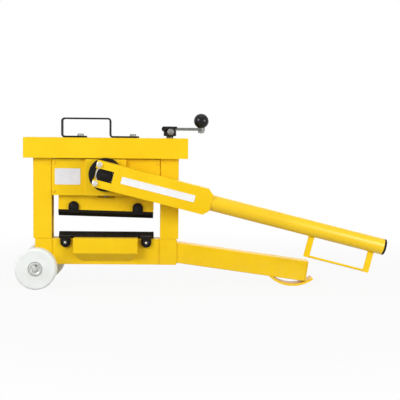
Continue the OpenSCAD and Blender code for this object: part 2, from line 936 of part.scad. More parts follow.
module upper_blade_bolts() {
    reach = beam_t / 2 + lug_t;
    color(black) at_beam() both_sides() bolt_y(upper_lug_x, upper_bolt_z, blade_bolt_d, -reach, reach);
}

// Spindles, sprockets and chain

module spindle(side, top) {
    color(steel) translate([side * post_x, 0, base_top + spindle_foot])
        cylinder(d = spindle_d, h = top - base_top - spindle_foot);
}

module left_spindle() {
    spindle(-1, chain_z + 2 * chain_half);
}

module right_spindle() {
    spindle(1, hub_top - hub_roof);
}

// The teeth are drawn short, so that they turn inside the still chain
module sprocket() {
    tooth = 360 / sprocket_teeth;
    turns = [0.40, 0.60, 0.80, 1.20];
    radii = [sprocket_tip, sprocket_tip, sprocket_root, sprocket_root];
    hub_z = post_top + cap_t + spindle_foot + seat_gap;
    difference() {
        union() {
            translate([0, 0, chain_z]) linear_extrude(height = chain_half, center = true) polygon([
                for (i = [0 : sprocket_teeth - 1], step = [0 : 3])
                    radii[step] * [cos((i + turns[step]) * tooth), sin((i + turns[step]) * tooth)]
            ]);
            translate([0, 0, hub_z]) cylinder(d = nut_d, h = chain_z + chain_half - hub_z);
        }
        translate([0, 0, hub_z - through]) cylinder(d = spindle_d, h = chain_z);
    }
}

module left_sprocket() {
    color(steel) translate([-post_x, 0, 0]) sprocket();
}

module right_sprocket() {
    color(steel) translate([post_x, 0, 0]) sprocket();
}

module spindle_seats() {
    color(steel) both_sides() translate([post_x, 0, base_top]) difference() {
        cylinder(d = nut_d, h = seat_h);
        translate([0, 0, spindle_foot]) cylinder(d = spindle_d + 2 * run_gap, h = seat_h);
    }
}

module spindle_collars() {
    color(bronze) both_sides() translate([post_x, 0, post_top]) difference() {
        cylinder(d = nut_d, h = cap_t + spindle_foot);
        translate([0, 0, -through]) cylinder(d = spindle_d + 2 * run_gap, h = 2 * cap_t + seat_h);
    }
}

// Both side plates of a stretch of chain, whose outline is drawn in X and Y
module chain_plates() {
    for (side = [-1, 1])
        translate([0, 0, chain_z + side * (chain_half + chain_plate_t / 2 - seat_gap)])
            linear_extrude(height = chain_plate_t, center = true) children();
}

module chain_pin() {
    translate([0, 0, chain_z]) cylinder(d = roller_d, h = 2 * chain_half, center = true);
}

// A straight run between the sprockets
module chain_run() {
    links = floor(2 * post_x / chain_pitch);
    link = 2 * post_x / links;
    chain_plates() translate([-post_x, pitch_r - chain_half]) square([2 * post_x, 2 * chain_half]);
    for (i = [0 : links - 1]) translate([-post_x + (i + 0.5) * link, pitch_r, 0]) chain_pin();
}

// The half turn round a sprocket
module chain_bend() {
    links = floor(sprocket_teeth / 2);
    reach = 2 * pitch_r;
    translate([post_x, 0, 0]) {
        chain_plates() difference() {
            circle(r = pitch_r + chain_half);
            circle(r = pitch_r - chain_half);
            translate([seat_gap - reach, -reach]) square([reach, 2 * reach]);
        }
        for (i = [0 : links - 1]) rotate([0, 0, (i + 0.5) * 180 / links - 90])
            translate([pitch_r, 0, 0]) chain_pin();
    }
}

module drive_chain() {
    color(black) {
        both_sides() chain_bend();
        front_and_back() chain_run();
    }
}

// Crank

module crank_hub_solid() {
    cylinder(d = crank_hub_d, h = crank_hub_h);
    translate([0, 0, crank_hub_h - hub_rim]) cylinder(d = crank_hub_d + 2 * hub_lip, h = hub_rim);
}

module crank_hub() {
    color(black) translate([post_x, 0, hub_low]) difference() {
        crank_hub_solid();
        translate([0, 0, -through]) cylinder(d = spindle_d, h = crank_hub_h + through - hub_roof);
        bar_y(0, crank_screw_z, crank_screw_d, -crank_hub_d, 0);
    }
}

module crank_screw() {
    z = hub_low + crank_screw_z;
    face = crank_hub_d / 2;
    color(steel) {
        bar_y(post_x, z, crank_screw_d, -face, -spindle_d / 2);
        translate([post_x, -face, z]) rotate([90, 0, 0]) hexagon(crank_screw_d);
    }
}

module crank_arm() {
    color(steel) difference() {
        union() {
            block([post_x, -crank_arm_w / 2, arm_low], [post_x + crank_r, crank_arm_w / 2, arm_top]);
            translate([post_x + crank_r, 0, arm_low]) cylinder(d = crank_arm_w, h = crank_arm_t);
        }
        translate([post_x, 0, hub_low]) crank_hub_solid();
        translate([post_x + crank_r, 0, arm_low - through]) cylinder(d = knob_stud_d, h = crank_arm_t + 2 * through);
    }
}

module ball_knob() {
    sink = 2;
    color(black) translate([post_x + crank_r, 0, arm_top]) difference() {
        translate([0, 0, knob_d / 2 - sink]) sphere(d = knob_d, $fn = 96);
        translate([-knob_d, -knob_d, -knob_d]) cube([2 * knob_d, 2 * knob_d, knob_d]);
    }
}

module knob_nut() {
    color(steel) translate([post_x + crank_r, 0, 0]) {
        translate([0, 0, arm_low - knob_stud_d * head_t]) hexagon(knob_stud_d);
        translate([0, 0, arm_low]) cylinder(d = knob_stud_d, h = crank_arm_t);
    }
}

// Carry handle

// A round bend of the strap, from straight up to the left
module strap_bend(r) {
    intersection() {
        difference() {
            circle(r = r);
            circle(r = r - strap_t);
        }
        translate([-r, 0]) square(r);
    }
}

module carry_outline() {
    leg_h = carry_h - strap_bend_r;
    right = carry_len - strap_t;
    translate([strap_bend_r, leg_h]) strap_bend(strap_bend_r);
    translate([carry_len - strap_bend_r, leg_h]) mirror([1, 0]) strap_bend(strap_bend_r);
    translate([strap_bend_r, carry_h - strap_t]) square([carry_len - 2 * strap_bend_r, strap_t]);
    for (x = [0, right]) translate([x, 0]) square([strap_t, leg_h]);
    square([left_foot, strap_t]);
    translate([right, 0]) square([right_foot, strap_t]);
}

module carry_handle() {
    color(black) difference() {
        translate([-carry_left, 0, cover_top]) slab_y(-strap_w / 2, strap_w / 2) carry_outline();
        both_sides() translate([carry_bolt_x, 0, cover_top - through])
            cylinder(d = carry_bolt_d + bolt_gap, h = strap_t + 2 * through);
    }
}

module carry_handle_bolts() {
    nut_z = cover_top - cover_wall;
    color(steel) both_sides() translate([carry_bolt_x, 0, 0]) {
        translate([0, 0, nut_z - carry_bolt_d * head_t]) hexagon(carry_bolt_d);
        translate([0, 0, nut_z]) cylinder(d = carry_bolt_d, h = cover_wall + strap_t);
        translate([0, 0, cover_top + strap_t]) hexagon(carry_bolt_d);
    }
}

// Puts the jaws' middle where it stands when the origin is under the machine's own middle
module place() {
    translate([-middle_x, 0, 0]) children();
}

place() base_channel();
place() left_post();
place() right_post();
place() post_caps();
place() top_cover();
place() support_leg();
place() leg_end_plate();
place() skid_foot();
place() axle_tube();
place() axle_rod();
place() front_wheel();
place() rear_wheel();
place() front_wheel_bush();
place() rear_wheel_bush();
place() axle_washers();
place() axle_caps();
place() front_table();
place() rear_table();
place() lower_blade();
place() lower_blade_bolts();
place() head_front_cheek();
place() head_rear_cheek();
place() left_guide();
place() right_guide();
place() front_bearing_plate();
place() rear_bearing_plate();
place() front_shaft_bush();
place() rear_shaft_bush();
place() spindle_nuts();
place() head_screws();
place() data_plate();
place() eccentric_shaft();
place() shaft_collar();
place() lever_flange();
place() lever_box();
place() lever_bolts();
place() handle_tube();
place() hand_loop();
place() end_plug();
place() lever_label();
place() shaft_end_ring();
place() thrust_block();
place() rocking_pin();
place() upper_beam();
place() upper_blade();
place() upper_blade_bolts();
place() left_spindle();
place() left_sprocket();
place() right_spindle();
place() right_sprocket();
place() spindle_seats();
place() spindle_collars();
place() drive_chain();
place() crank_hub();
place() crank_screw();
place() crank_arm();
place() ball_knob();
place() knob_nut();
place() carry_handle();
place() carry_handle_bolts();
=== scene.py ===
import json
import math

import bmesh
import bpy
from mathutils import Matrix, Vector


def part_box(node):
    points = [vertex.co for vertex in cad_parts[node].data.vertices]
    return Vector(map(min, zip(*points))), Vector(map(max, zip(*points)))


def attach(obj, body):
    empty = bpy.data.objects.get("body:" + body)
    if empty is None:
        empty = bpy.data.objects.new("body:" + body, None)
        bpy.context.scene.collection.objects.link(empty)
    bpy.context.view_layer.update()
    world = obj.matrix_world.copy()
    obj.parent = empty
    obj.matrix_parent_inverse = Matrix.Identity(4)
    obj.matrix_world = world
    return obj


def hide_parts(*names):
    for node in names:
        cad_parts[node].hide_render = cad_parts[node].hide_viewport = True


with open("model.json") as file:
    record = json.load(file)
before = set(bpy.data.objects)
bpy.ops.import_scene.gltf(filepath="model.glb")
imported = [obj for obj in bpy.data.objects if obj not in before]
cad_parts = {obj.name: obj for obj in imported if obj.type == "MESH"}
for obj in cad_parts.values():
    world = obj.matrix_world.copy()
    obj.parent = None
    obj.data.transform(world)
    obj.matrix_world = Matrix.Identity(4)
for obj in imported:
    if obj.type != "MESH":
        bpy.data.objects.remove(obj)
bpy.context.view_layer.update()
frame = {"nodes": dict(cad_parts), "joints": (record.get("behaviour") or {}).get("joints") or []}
nodes = frame["nodes"]
scene = bpy.context.scene
mm = 0.001
print("frame loaded:", len(nodes), "nodes")

# camera, as the photograph was taken
cameraSet = {
    "lens": 90,
    "sensor": 36,  # millimetres, square frame
    "aim": (-0.008, 0, 0.297),
    "distance": 3.505,
    "lift": 4.43,  # degrees down
    "turn": 1.28,  # degrees round to the left
    "roll": 0.55,
}


def makeCamera(c):
    lift, turn, roll = (math.radians(c[angle]) for angle in ("lift", "turn", "roll"))
    back = Vector((-math.sin(turn) * math.cos(lift), -math.cos(turn) * math.cos(lift), math.sin(lift)))
    data = bpy.data.cameras.new("photoCamera")
    data.lens = c["lens"]
    data.sensor_width = c["sensor"]
    camera = bpy.data.objects.new("photoCamera", data)
    scene.collection.objects.link(camera)
    stand = Matrix.Translation(Vector(c["aim"]) + back * c["distance"])
    look = (-back).to_track_quat("-Z", "Y").to_matrix().to_4x4()
    camera.matrix_world = stand @ look @ Matrix.Rotation(roll, 4, "Z")
    scene.camera = camera


makeCamera(cameraSet)
print("camera placed")

# steps that every node tree is made of


def feed(tree, socket, amount):
    # a socket takes a fixed value or what another node puts out
    if isinstance(amount, bpy.types.NodeSocket):
        tree.links.new(amount, socket)
    else:
        socket.default_value = amount


def maths(tree, kind, a, b):
    made = tree.nodes.new("ShaderNodeMath")
    made.operation = kind
    feed(tree, made.inputs[0], a)
    feed(tree, made.inputs[1], b)
    return made.outputs[0]


def spread(tree, value, low, high, toLow=0.0, toHigh=1.0):
    made = tree.nodes.new("ShaderNodeMapRange")
    limits = {"Value": value, "From Min": low, "From Max": high, "To Min": toLow, "To Max": toHigh}
    for label, amount in limits.items():
        feed(tree, made.inputs[label], amount)
    return made.outputs["Result"]


def objectPlace(tree):
    return tree.nodes.new("ShaderNodeTexCoord").outputs["Object"]


def noise(tree, scale, detail=3.0, rough=0.55, place=None):
    made = tree.nodes.new("ShaderNodeTexNoise")
    feed(tree, made.inputs["Vector"], place or objectPlace(tree))
    feed(tree, made.inputs["Scale"], scale)
    made.inputs["Detail"].default_value = detail
    made.inputs["Roughness"].default_value = rough
    return made.outputs["Fac"]


def blendColour(tree, mask, a, b):
    made = tree.nodes.new("ShaderNodeMix")
    made.data_type = "RGBA"
    feed(tree, made.inputs["Factor"], mask)
    feed(tree, made.inputs[6], a)  # 6 and 7 are the two colours
    feed(tree, made.inputs[7], b)
    return made.outputs[2]


# stage: a white floor that keeps the shadow, and fades into a white surround
stageSet = {
    "floorSize": 14,
    "floorColour": (0.50, 0.50, 0.50, 1),
    "fadeFrom": 0.75,
    "fadeTo": 1.9,
    "surround": 0.47,
    "glow": 0.92,
}


def whiteToEye(tree):
    # white for the camera, for reflections and through glass, and plain light for everything else
    rays = tree.nodes.new("ShaderNodeLightPath").outputs
    seen = maths(tree, "MAXIMUM", rays["Is Camera Ray"], rays["Is Transmission Ray"])
    return maths(tree, "MAXIMUM", seen, rays["Is Glossy Ray"])


def mixShaders(tree, share, plain, white, out):
    mix = tree.nodes.new("ShaderNodeMixShader")
    for socket, given in zip(mix.inputs, (share, plain.outputs[0], white.outputs[0])):
        tree.links.new(given, socket)
    tree.links.new(mix.outputs[0], tree.nodes.new(out).inputs["Surface"])


def makeWorld(s):
    scene.world = bpy.data.worlds.new("whiteRoom")
    scene.world.use_nodes = True
    tree = scene.world.node_tree
    tree.nodes.clear()
    plain, white = (tree.nodes.new("ShaderNodeBackground") for _ in range(2))
    plain.inputs["Strength"].default_value = s["surround"]
    white.inputs["Color"].default_value = (1, 1, 1, 1)
    mixShaders(tree, whiteToEye(tree), plain, white, "ShaderNodeOutputWorld")


def makeFloor(s):
    bm = bmesh.new()
    bmesh.ops.create_grid(bm, x_segments=1, y_segments=1, size=s["floorSize"] / 2)
    mesh = bpy.data.meshes.new("floor")
    bm.to_mesh(mesh)
    bm.free()
    floor = bpy.data.objects.new("floor", mesh)
    scene.collection.objects.link(floor)
    paper = bpy.data.materials.new("paperFloor")
    paper.use_nodes = True
    tree = paper.node_tree
    tree.nodes.clear()
    plain, glow = tree.nodes.new("ShaderNodeBsdfDiffuse"), tree.nodes.new("ShaderNodeEmission")
    plain.inputs["Color"].default_value = s["floorColour"]
    reach = tree.nodes.new("ShaderNodeVectorMath")
    reach.operation = "LENGTH"
    tree.links.new(objectPlace(tree), reach.inputs[0])
    fade = spread(tree, reach.outputs["Value"], s["fadeFrom"], s["fadeTo"], s["glow"])
    fade.node.interpolation_type = "SMOOTHSTEP"
    share = maths(tree, "MULTIPLY", fade, whiteToEye(tree))
    mixShaders(tree, share, plain, glow, "ShaderNodeOutputMaterial")
    mesh.materials.append(paper)


lampSet = {
    "key": {"at": (-2.2, -1.9, 1.5), "to": (-0.1, 0, 0.3), "size": 1.3, "power": 50},
    "fill": {"at": (2.3, -1.9, 0.85), "to": (0.1, 0, 0.3), "size": 1.3, "power": 45},
    "top": {"at": (0.1, -0.4, 3.0), "to": (0, 0, 0.2), "size": 2.6, "power": 14},
    "back": {"at": (0.6, 2.8, 1.6), "to": (0, 0, 0.3), "size": 2.2, "power": 20},
}


def makeLamp(name, c):
    data = bpy.data.lights.new(name, "AREA")
    data.shape = "SQUARE"
    data.size = c["size"]
    data.energy = c["power"]
    lamp = bpy.data.objects.new(name, data)
    scene.collection.objects.link(lamp)
    lamp.location = c["at"]
    lamp.rotation_euler = (Vector(c["to"]) - Vector(c["at"])).to_track_quat("-Z", "Y").to_euler()


makeWorld(stageSet)
makeFloor(stageSet)
for lampName, lampValues in lampSet.items():
    makeLamp(lampName, lampValues)
scene.view_settings.view_transform = "Standard"
print("stage and lamps placed")

# shared effects, as node groups; each has its own values, and the finishes set the rest
toneSet = {"detail": 4.0, "rough": 0.6, "low": 0.36, "high": 0.64}
skinSet = {"detail": 2.0, "rough": 0.5, "share": 0.4, "low": 0.3, "high": 0.7,
           "slowScale": 14.0, "slowDetail": 3.0, "slowRough": 0.6, "slowShare": 0.6}
scuffSet = {"stretch": (1.0, 2.2, 3.0), "turn": (0.3, 0.5, 0.2), "detail": 5.0, "rough": 0.7,
            "limit": 0.78, "ease": 0.3, "edge": 0.05,
            "patchScale": 7.0, "patchDetail": 2.0, "patchLow": 0.45, "patchHigh": 0.68}
dustSet = {"scale": 30.0, "detail": 5.0, "rough": 0.65, "low": 0.35, "high": 0.7}


def newGroup(name, inputs, outputs):
    tree = bpy.data.node_groups.new(name, "ShaderNodeTree")
    for label, value in inputs.items():
        kind = "NodeSocketColor" if isinstance(value, tuple) else "NodeSocketFloat"
        tree.interface.new_socket(label, in_out="INPUT", socket_type=kind).default_value = value
    for label in outputs:
        kind = "NodeSocketColor" if label == "Color" else "NodeSocketFloat"
        tree.interface.new_socket(label, in_out="OUTPUT", socket_type=kind)
    return tree, tree.nodes.new("NodeGroupInput").outputs, tree.nodes.new("NodeGroupOutput").inputs


def makeToneGroup(c):
    # slow drift of a colour between a darker and a lighter shade of itself
    ask = {"Light": (1, 1, 1, 1), "Dark": (0, 0, 0, 1), "Scale": 6.0}
    tree, given, out = newGroup("toneDrift", ask, ("Color",))
    drift = spread(tree, noise(tree, given["Scale"], c["detail"], c["rough"]), c["low"], c["high"])
    tree.links.new(blendColour(tree, drift, given["Dark"], given["Light"]), out["Color"])
    return tree


def makeSkinGroup(c):
    # fine skin of a coat or casting: a height for bump, and a roughness that follows it
    ask = {"Scale": 500.0, "Smooth": 0.3, "Rough": 0.4}
    tree, given, out = newGroup("fineSkin", ask, ("Height", "Roughness"))
    skin = noise(tree, given["Scale"], c["detail"], c["rough"])
    slow = noise(tree, c["slowScale"], c["slowDetail"], c["slowRough"])
    both = maths(tree, "ADD", maths(tree, "MULTIPLY", skin, c["share"]),
                 maths(tree, "MULTIPLY", slow, c["slowShare"]))
    tree.links.new(skin, out["Height"])
    rough = spread(tree, both, c["low"], c["high"], given["Smooth"], given["Rough"])
    tree.links.new(rough, out["Roughness"])
    return tree


def makeScuffGroup(c):
    # short rubbed marks and specks where the coat has been knocked
    tree, given, out = newGroup("scuffs", {"Amount": 0.2, "Scale": 60.0}, ("Mask",))
    stretch = tree.nodes.new("ShaderNodeMapping")
    stretch.inputs["Scale"].default_value = c["stretch"]
    stretch.inputs["Rotation"].default_value = c["turn"]
    tree.links.new(objectPlace(tree), stretch.inputs["Vector"])
    marks = noise(tree, given["Scale"], c["detail"], c["rough"], stretch.outputs["Vector"])
    patch = spread(tree, noise(tree, c["patchScale"], c["patchDetail"]), c["patchLow"], c["patchHigh"])
    limit = maths(tree, "SUBTRACT", c["limit"], maths(tree, "MULTIPLY", given["Amount"], c["ease"]))
    mark = spread(tree, marks, limit, maths(tree, "ADD", limit, c["edge"]))
    tree.links.new(maths(tree, "MULTIPLY", mark, patch), out["Mask"])
    return tree


def makeDustGroup(c):
    # pale site dust that gathers low down
    tree, given, out = newGroup("floorDust", {"Amount": 0.15, "Reach": 0.12}, ("Mask",))
    split = tree.nodes.new("ShaderNodeSeparateXYZ")
    tree.links.new(objectPlace(tree), split.inputs[0])
    low = spread(tree, split.outputs["Z"], 0.0, given["Reach"], 1.0, 0.0)
    patch = spread(tree, noise(tree, c["scale"], c["detail"], c["rough"]), c["low"], c["high"])
    mask = maths(tree, "MULTIPLY", maths(tree, "MULTIPLY", low, patch), given["Amount"])
    tree.links.new(mask, out["Mask"])
    return tree


toneGroup, skinGroup = makeToneGroup(toneSet), makeSkinGroup(skinSet)
scuffGroup, dustGroup = makeScuffGroup(scuffSet), makeDustGroup(dustSet)
print("effects made")

# finishes, one dictionary each
finishes = {
    "yellowPaint": {
        "light": (0.95, 0.625, 0.013, 1), "dark": (0.9, 0.57, 0.009, 1),
        "toneScale": 5.0, "grain": 420.0, "smooth": 0.3, "rough": 0.44, "bump": 0.1, "deep": 0.0003,
        "under": (0.55, 0.33, 0.02, 1), "gloss": 0.1, "scuff": 0.1, "dust": 0.1},
    # paint on rounded edges, welds and screw heads: its extra scuffs are wear, and its paler tint is a
    # painted highlight
    "yellowEdgeWearAndHighlight": {
        "light": (0.95, 0.635, 0.02, 1), "dark": (0.88, 0.555, 0.011, 1),
        "toneScale": 40.0, "grain": 420.0, "smooth": 0.26, "rough": 0.4, "bump": 0.08, "deep": 0.0003,
        "under": (0.42, 0.28, 0.08, 1), "gloss": 0.12, "scuff": 0.42, "dust": 0.08},
    "drawnPaint": {
        "light": (0.95, 0.625, 0.013, 1), "dark": (0.9, 0.57, 0.009, 1),
        "toneScale": 5.0, "grain": 420.0, "smooth": 0.25, "rough": 0.36, "bump": 0.03, "deep": 0.0003,
        "under": (0.55, 0.33, 0.02, 1), "gloss": 0.34, "scuff": 0.1, "dust": 0.0},
    "blackBlade": {
        "light": (0.013, 0.0095, 0.006, 1), "dark": (0.006, 0.0045, 0.003, 1),
        "toneScale": 22.0, "grain": 260.0, "smooth": 0.36, "rough": 0.58, "bump": 0.25, "deep": 0.0006,
        "under": (0.05, 0.042, 0.034, 1), "gloss": 0.12, "scuff": 0.35, "dust": 0.05},
    "bladeEdge": {
        "light": (0.026, 0.022, 0.017, 1), "dark": (0.008, 0.006, 0.004, 1),
        "toneScale": 60.0, "grain": 300.0, "smooth": 0.3, "rough": 0.5, "bump": 0.2, "deep": 0.0004,
        "under": (0.16, 0.15, 0.135, 1), "gloss": 0.15, "scuff": 0.5, "dust": 0.0},
    "blackOxide": {
        "light": (0.014, 0.012, 0.011, 1), "dark": (0.006, 0.005, 0.0045, 1),
        "toneScale": 30.0, "grain": 500.0, "smooth": 0.3, "rough": 0.48, "bump": 0.12, "deep": 0.0003,
        "under": (0.09, 0.085, 0.08, 1), "gloss": 0.15, "scuff": 0.4, "dust": 0.0},
    "zincPlate": {
        "light": (0.42, 0.42, 0.4, 1), "dark": (0.27, 0.27, 0.26, 1),
        "toneScale": 60.0, "grain": 700.0, "smooth": 0.24, "rough": 0.4, "bump": 0.06, "deep": 0.0002,
        "under": (0.24, 0.23, 0.215, 1), "gloss": 0.3, "scuff": 0.3, "dust": 0.0, "metal": 1.0},
    # a lit copy of the zinc, lighter and warmer than zincPlate: the extra lightness is a painted
    # highlight
    "zincPaintedHighlight": {
        "light": (0.78, 0.76, 0.7, 1), "dark": (0.56, 0.54, 0.48, 1),
        "toneScale": 70.0, "grain": 700.0, "smooth": 0.18, "rough": 0.32, "bump": 0.05, "deep": 0.0002,
        "under": (0.4, 0.38, 0.33, 1), "gloss": 0.3, "scuff": 0.3, "dust": 0.0, "metal": 1.0},
    "dullSteel": {
        "light": (0.23, 0.23, 0.22, 1), "dark": (0.14, 0.14, 0.133, 1),
        "toneScale": 55.0, "grain": 600.0, "smooth": 0.36, "rough": 0.52, "bump": 0.1, "deep": 0.0002,
        "under": (0.13, 0.125, 0.12, 1), "gloss": 0.3, "scuff": 0.4, "dust": 0.0, "metal": 0.85},
    "paleSteel": {
        "light": (0.6, 0.61, 0.59, 1), "dark": (0.44, 0.45, 0.435, 1),
        "toneScale": 90.0, "grain": 500.0, "smooth": 0.4, "rough": 0.58, "bump": 0.18, "deep": 0.0004,
        "under": (0.3, 0.3, 0.29, 1), "gloss": 0.3, "scuff": 0.45, "dust": 0.0, "metal": 0.6},
    "oiledSteel": {
        "light": (0.15, 0.145, 0.137, 1), "dark": (0.085, 0.08, 0.073, 1),
        "toneScale": 50.0, "grain": 600.0, "smooth": 0.24, "rough": 0.42, "bump": 0.08, "deep": 0.0002,
        "under": (0.12, 0.1, 0.08, 1), "gloss": 0.4, "scuff": 0.3, "dust": 0.0, "metal": 0.9},
    "blackSatin": {
        "light": (0.012, 0.0115, 0.011, 1), "dark": (0.007, 0.0065, 0.006, 1),
        "toneScale": 24.0, "grain": 480.0, "smooth": 0.34, "rough": 0.46, "bump": 0.1, "deep": 0.0003,
        "under": (0.05, 0.047, 0.044, 1), "gloss": 0.16, "scuff": 0.32, "dust": 0.0},
    "bronzeBush": {
        "light": (0.62, 0.42, 0.18, 1), "dark": (0.46, 0.29, 0.12, 1),
        "toneScale": 50.0, "grain": 700.0, "smooth": 0.26, "rough": 0.42, "bump": 0.06, "deep": 0.0002,
        "under": (0.25, 0.17, 0.08, 1), "gloss": 0.3, "scuff": 0.2, "dust": 0.0, "metal": 1.0},
    "castNylon": {
        "light": (0.86, 0.89, 0.87, 1), "dark": (0.81, 0.84, 0.82, 1),
        "toneScale": 18.0, "grain": 350.0, "smooth": 0.36, "rough": 0.52, "bump": 0.1, "deep": 0.0003,
        "under": (0.64, 0.63, 0.59, 1), "gloss": 0.3, "scuff": 0.16, "dust": 0.18, "soft": 0.12},
    "blackPhenolic": {
        "light": (0.004, 0.004, 0.004, 1), "dark": (0.0025, 0.0025, 0.0025, 1),
        "toneScale": 30.0, "grain": 300.0, "smooth": 0.06, "rough": 0.1, "bump": 0.02, "deep": 0.0002,
        "under": (0.05, 0.05, 0.05, 1), "gloss": 0.27, "scuff": 0.12, "dust": 0.0},
    "blackRubber": {
        "light": (0.016, 0.015, 0.013, 1), "dark": (0.009, 0.008, 0.007, 1),
        "toneScale": 30.0, "grain": 600.0, "smooth": 0.5, "rough": 0.68, "bump": 0.15, "deep": 0.0003,
        "under": (0.07, 0.065, 0.06, 1), "gloss": 0.12, "scuff": 0.2, "dust": 0.0},
    "plateGrey": {
        "light": (0.82, 0.81, 0.83, 1), "dark": (0.76, 0.75, 0.77, 1),
        "toneScale": 26.0, "grain": 900.0, "smooth": 0.28, "rough": 0.38, "bump": 0.04, "deep": 0.0002,
        "under": (0.5, 0.5, 0.52, 1), "gloss": 0.35, "scuff": 0.1, "dust": 0.0},
    "labelWhite": {
        "light": (0.9, 0.9, 0.905, 1), "dark": (0.86, 0.86, 0.865, 1),
        "toneScale": 20.0, "grain": 900.0, "smooth": 0.34, "rough": 0.44, "bump": 0.03, "deep": 0.0002,
        "under": (0.7, 0.68, 0.62, 1), "gloss": 0.35, "scuff": 0.08, "dust": 0.0},
}
finishSet = {"scuffScale": 70.0, "scuffRough": 0.15,
             "dustColour": (0.62, 0.56, 0.47, 1), "dustReach": 0.12,
             "softRadius": (0.004, 0.004, 0.0035), "softScale": 0.5}


def placeGroup(tree, group, **values):
    made = tree.nodes.new("ShaderNodeGroup")
    made.node_tree = group
    for label, value in values.items():
        made.inputs[label].default_value = value
    return made.outputs


def makeFinish(name, f, c=finishSet):
    material = bpy.data.materials.new(name)
    material.use_nodes = True
    tree = material.node_tree
    shader = tree.nodes["Principled BSDF"].inputs
    tone = placeGroup(tree, toneGroup, Light=f["light"], Dark=f["dark"], Scale=f["toneScale"])
    skin = placeGroup(tree, skinGroup, Scale=f["grain"], Smooth=f["smooth"], Rough=f["rough"])
    scuff = placeGroup(tree, scuffGroup, Amount=f["scuff"], Scale=c["scuffScale"])
    colour = blendColour(tree, scuff["Mask"], tone["Color"], f["under"])
    if f["dust"]:
        dust = placeGroup(tree, dustGroup, Amount=f["dust"], Reach=c["dustReach"])
        colour = blendColour(tree, dust["Mask"], colour, c["dustColour"])
    tree.links.new(colour, shader["Base Color"])
    rubbed = maths(tree, "MULTIPLY", scuff["Mask"], c["scuffRough"])
    tree.links.new(maths(tree, "ADD", skin["Roughness"], rubbed), shader["Roughness"])
    bump = tree.nodes.new("ShaderNodeBump")
    bump.inputs["Strength"].default_value = f["bump"]
    bump.inputs["Distance"].default_value = f["deep"]
    tree.links.new(skin["Height"], bump.inputs["Height"])
    tree.links.new(bump.outputs["Normal"], shader["Normal"])
    shader["Metallic"].default_value = f.get("metal", 0.0)
    shader["Specular IOR Level"].default_value = f["gloss"]
    if "soft" in f:
        shader["Subsurface Weight"].default_value = f["soft"]
        shader["Subsurface Radius"].default_value = c["softRadius"]
        shader["Subsurface Scale"].default_value = c["softScale"]
    material.diffuse_color = f["light"]
    return material


materials = {name: makeFinish(name, values) for name, values in finishes.items()}
print("finishes made:", len(materials))

# places, in millimetres, and what every new piece goes through
toFront = Matrix.Rotation(math.radians(90), 4, "X")  # turns up into towards the front
toBack = toFront.inverted()


def at(x=0, y=0, z=0):
    return Matrix.Translation((x * mm, y * mm, z * mm))


def middleOf(name):
    low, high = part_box(name)
    return (low + high) / 2


def added(bm, before):
    return [v for v in bm.verts if v not in before]


def onlyVerts(made):
    return [g for g in made["geom"] if isinstance(g, bmesh.types.BMVert)]


def edgesOf(verts):
    inside = set(verts)
    return list(dict.fromkeys(e for v in verts for e in v.link_edges if e.other_vert(v) in inside))


def settle(bm, before, place):
    # closes the seams of what was just added, and puts it in its place
    bmesh.ops.remove_doubles(bm, verts=added(bm, before), dist=2e-6)
    bmesh.ops.transform(bm, matrix=place, verts=added(bm, before))


def addPiece(name, bm, body, finish, stands=(), smooth=0.6):
    bmesh.ops.recalc_face_normals(bm, faces=bm.faces)
    mesh = bpy.data.meshes.new(name)
    bm.to_mesh(mesh)
    bm.free()
    piece = bpy.data.objects.new(name, mesh)
    scene.collection.objects.link(piece)
    mesh.materials.append(materials[finish])
    mesh.shade_smooth()
    mesh.set_sharp_from_angle(angle=smooth)
    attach(piece, body)
    if stands:
        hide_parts(*stands)


def arc(centre, radius, start, end, count=6):
    # points of a rounded corner, angles in degrees
    angles = (math.radians(start + (end - start) * i / count) for i in range(count + 1))
    return [(centre[0] + radius * math.cos(a), centre[1] + radius * math.sin(a)) for a in angles]


def addTurned(bm, profile, place, steps=64, closed=False):
    # turns (radius, height) points about Z; an open outline starts and ends on the axis
    before = set(bm.verts)
    verts = [bm.verts.new((r * mm, 0, h * mm)) for r, h in profile]
    chain = verts + verts[:1] if closed else verts
    edges = [bm.edges.new(pair) for pair in zip(chain, chain[1:])]
    bmesh.ops.spin(bm, geom=verts + edges, cent=(0, 0, 0), axis=(0, 0, 1), dvec=(0, 0, 0),
                   angle=math.tau, steps=steps, use_merge=True)
    settle(bm, before, place)


def addRod(bm, d, start, end, place, steps=40, ease=0.8):
    # a plain round end to end, with a small chamfer at both
    r = d / 2
    addTurned(bm, [(0, start), (r - ease, start), (r, start + ease), (r, end - ease), (r - ease, end),
                   (0, end)], place, steps)


def addWasher(bm, inner, outer, start, thick, place, ease=0.4):
    i, o, end = inner / 2, outer / 2, start + thick
    addTurned(bm, [(i, start), (o - ease, start), (o, start + ease), (o, end - ease), (o - ease, end),
                   (i, end)], place, 48, closed=True)


hexSet = {"points": 48, "coneFrom": 0.93, "flatTo": 0.92, "cone": math.radians(30)}


def addHex(bm, across, height, place, c=hexSet):
    # a hexagon with its corners turned off to a cone, as nuts and bolt heads have them
    before = set(bm.verts)
    flat = across / 2 * mm
    foot = bmesh.ops.create_circle(bm, segments=c["points"], radius=flat)["verts"]
    for v in foot:
        v.co /= math.cos(math.atan2(v.co.y, v.co.x) % (math.pi / 3) - math.pi / 6)
    footEdges = edgesOf(foot)
    side = onlyVerts(bmesh.ops.extrude_edge_only(bm, edges=footEdges))
    for v in side:
        v.co.z = height * mm - max(0, v.co.xy.length - c["coneFrom"] * flat) * math.tan(c["cone"])
    top = onlyVerts(bmesh.ops.extrude_edge_only(bm, edges=edgesOf(side)))
    for v in top:
        shrink = c["flatTo"] * flat / v.co.xy.length
        v.co = (v.co.x * shrink, v.co.y * shrink, height * mm)
    bmesh.ops.contextual_create(bm, geom=footEdges)
    bmesh.ops.contextual_create(bm, geom=edgesOf(top))
    settle(bm, before, place)


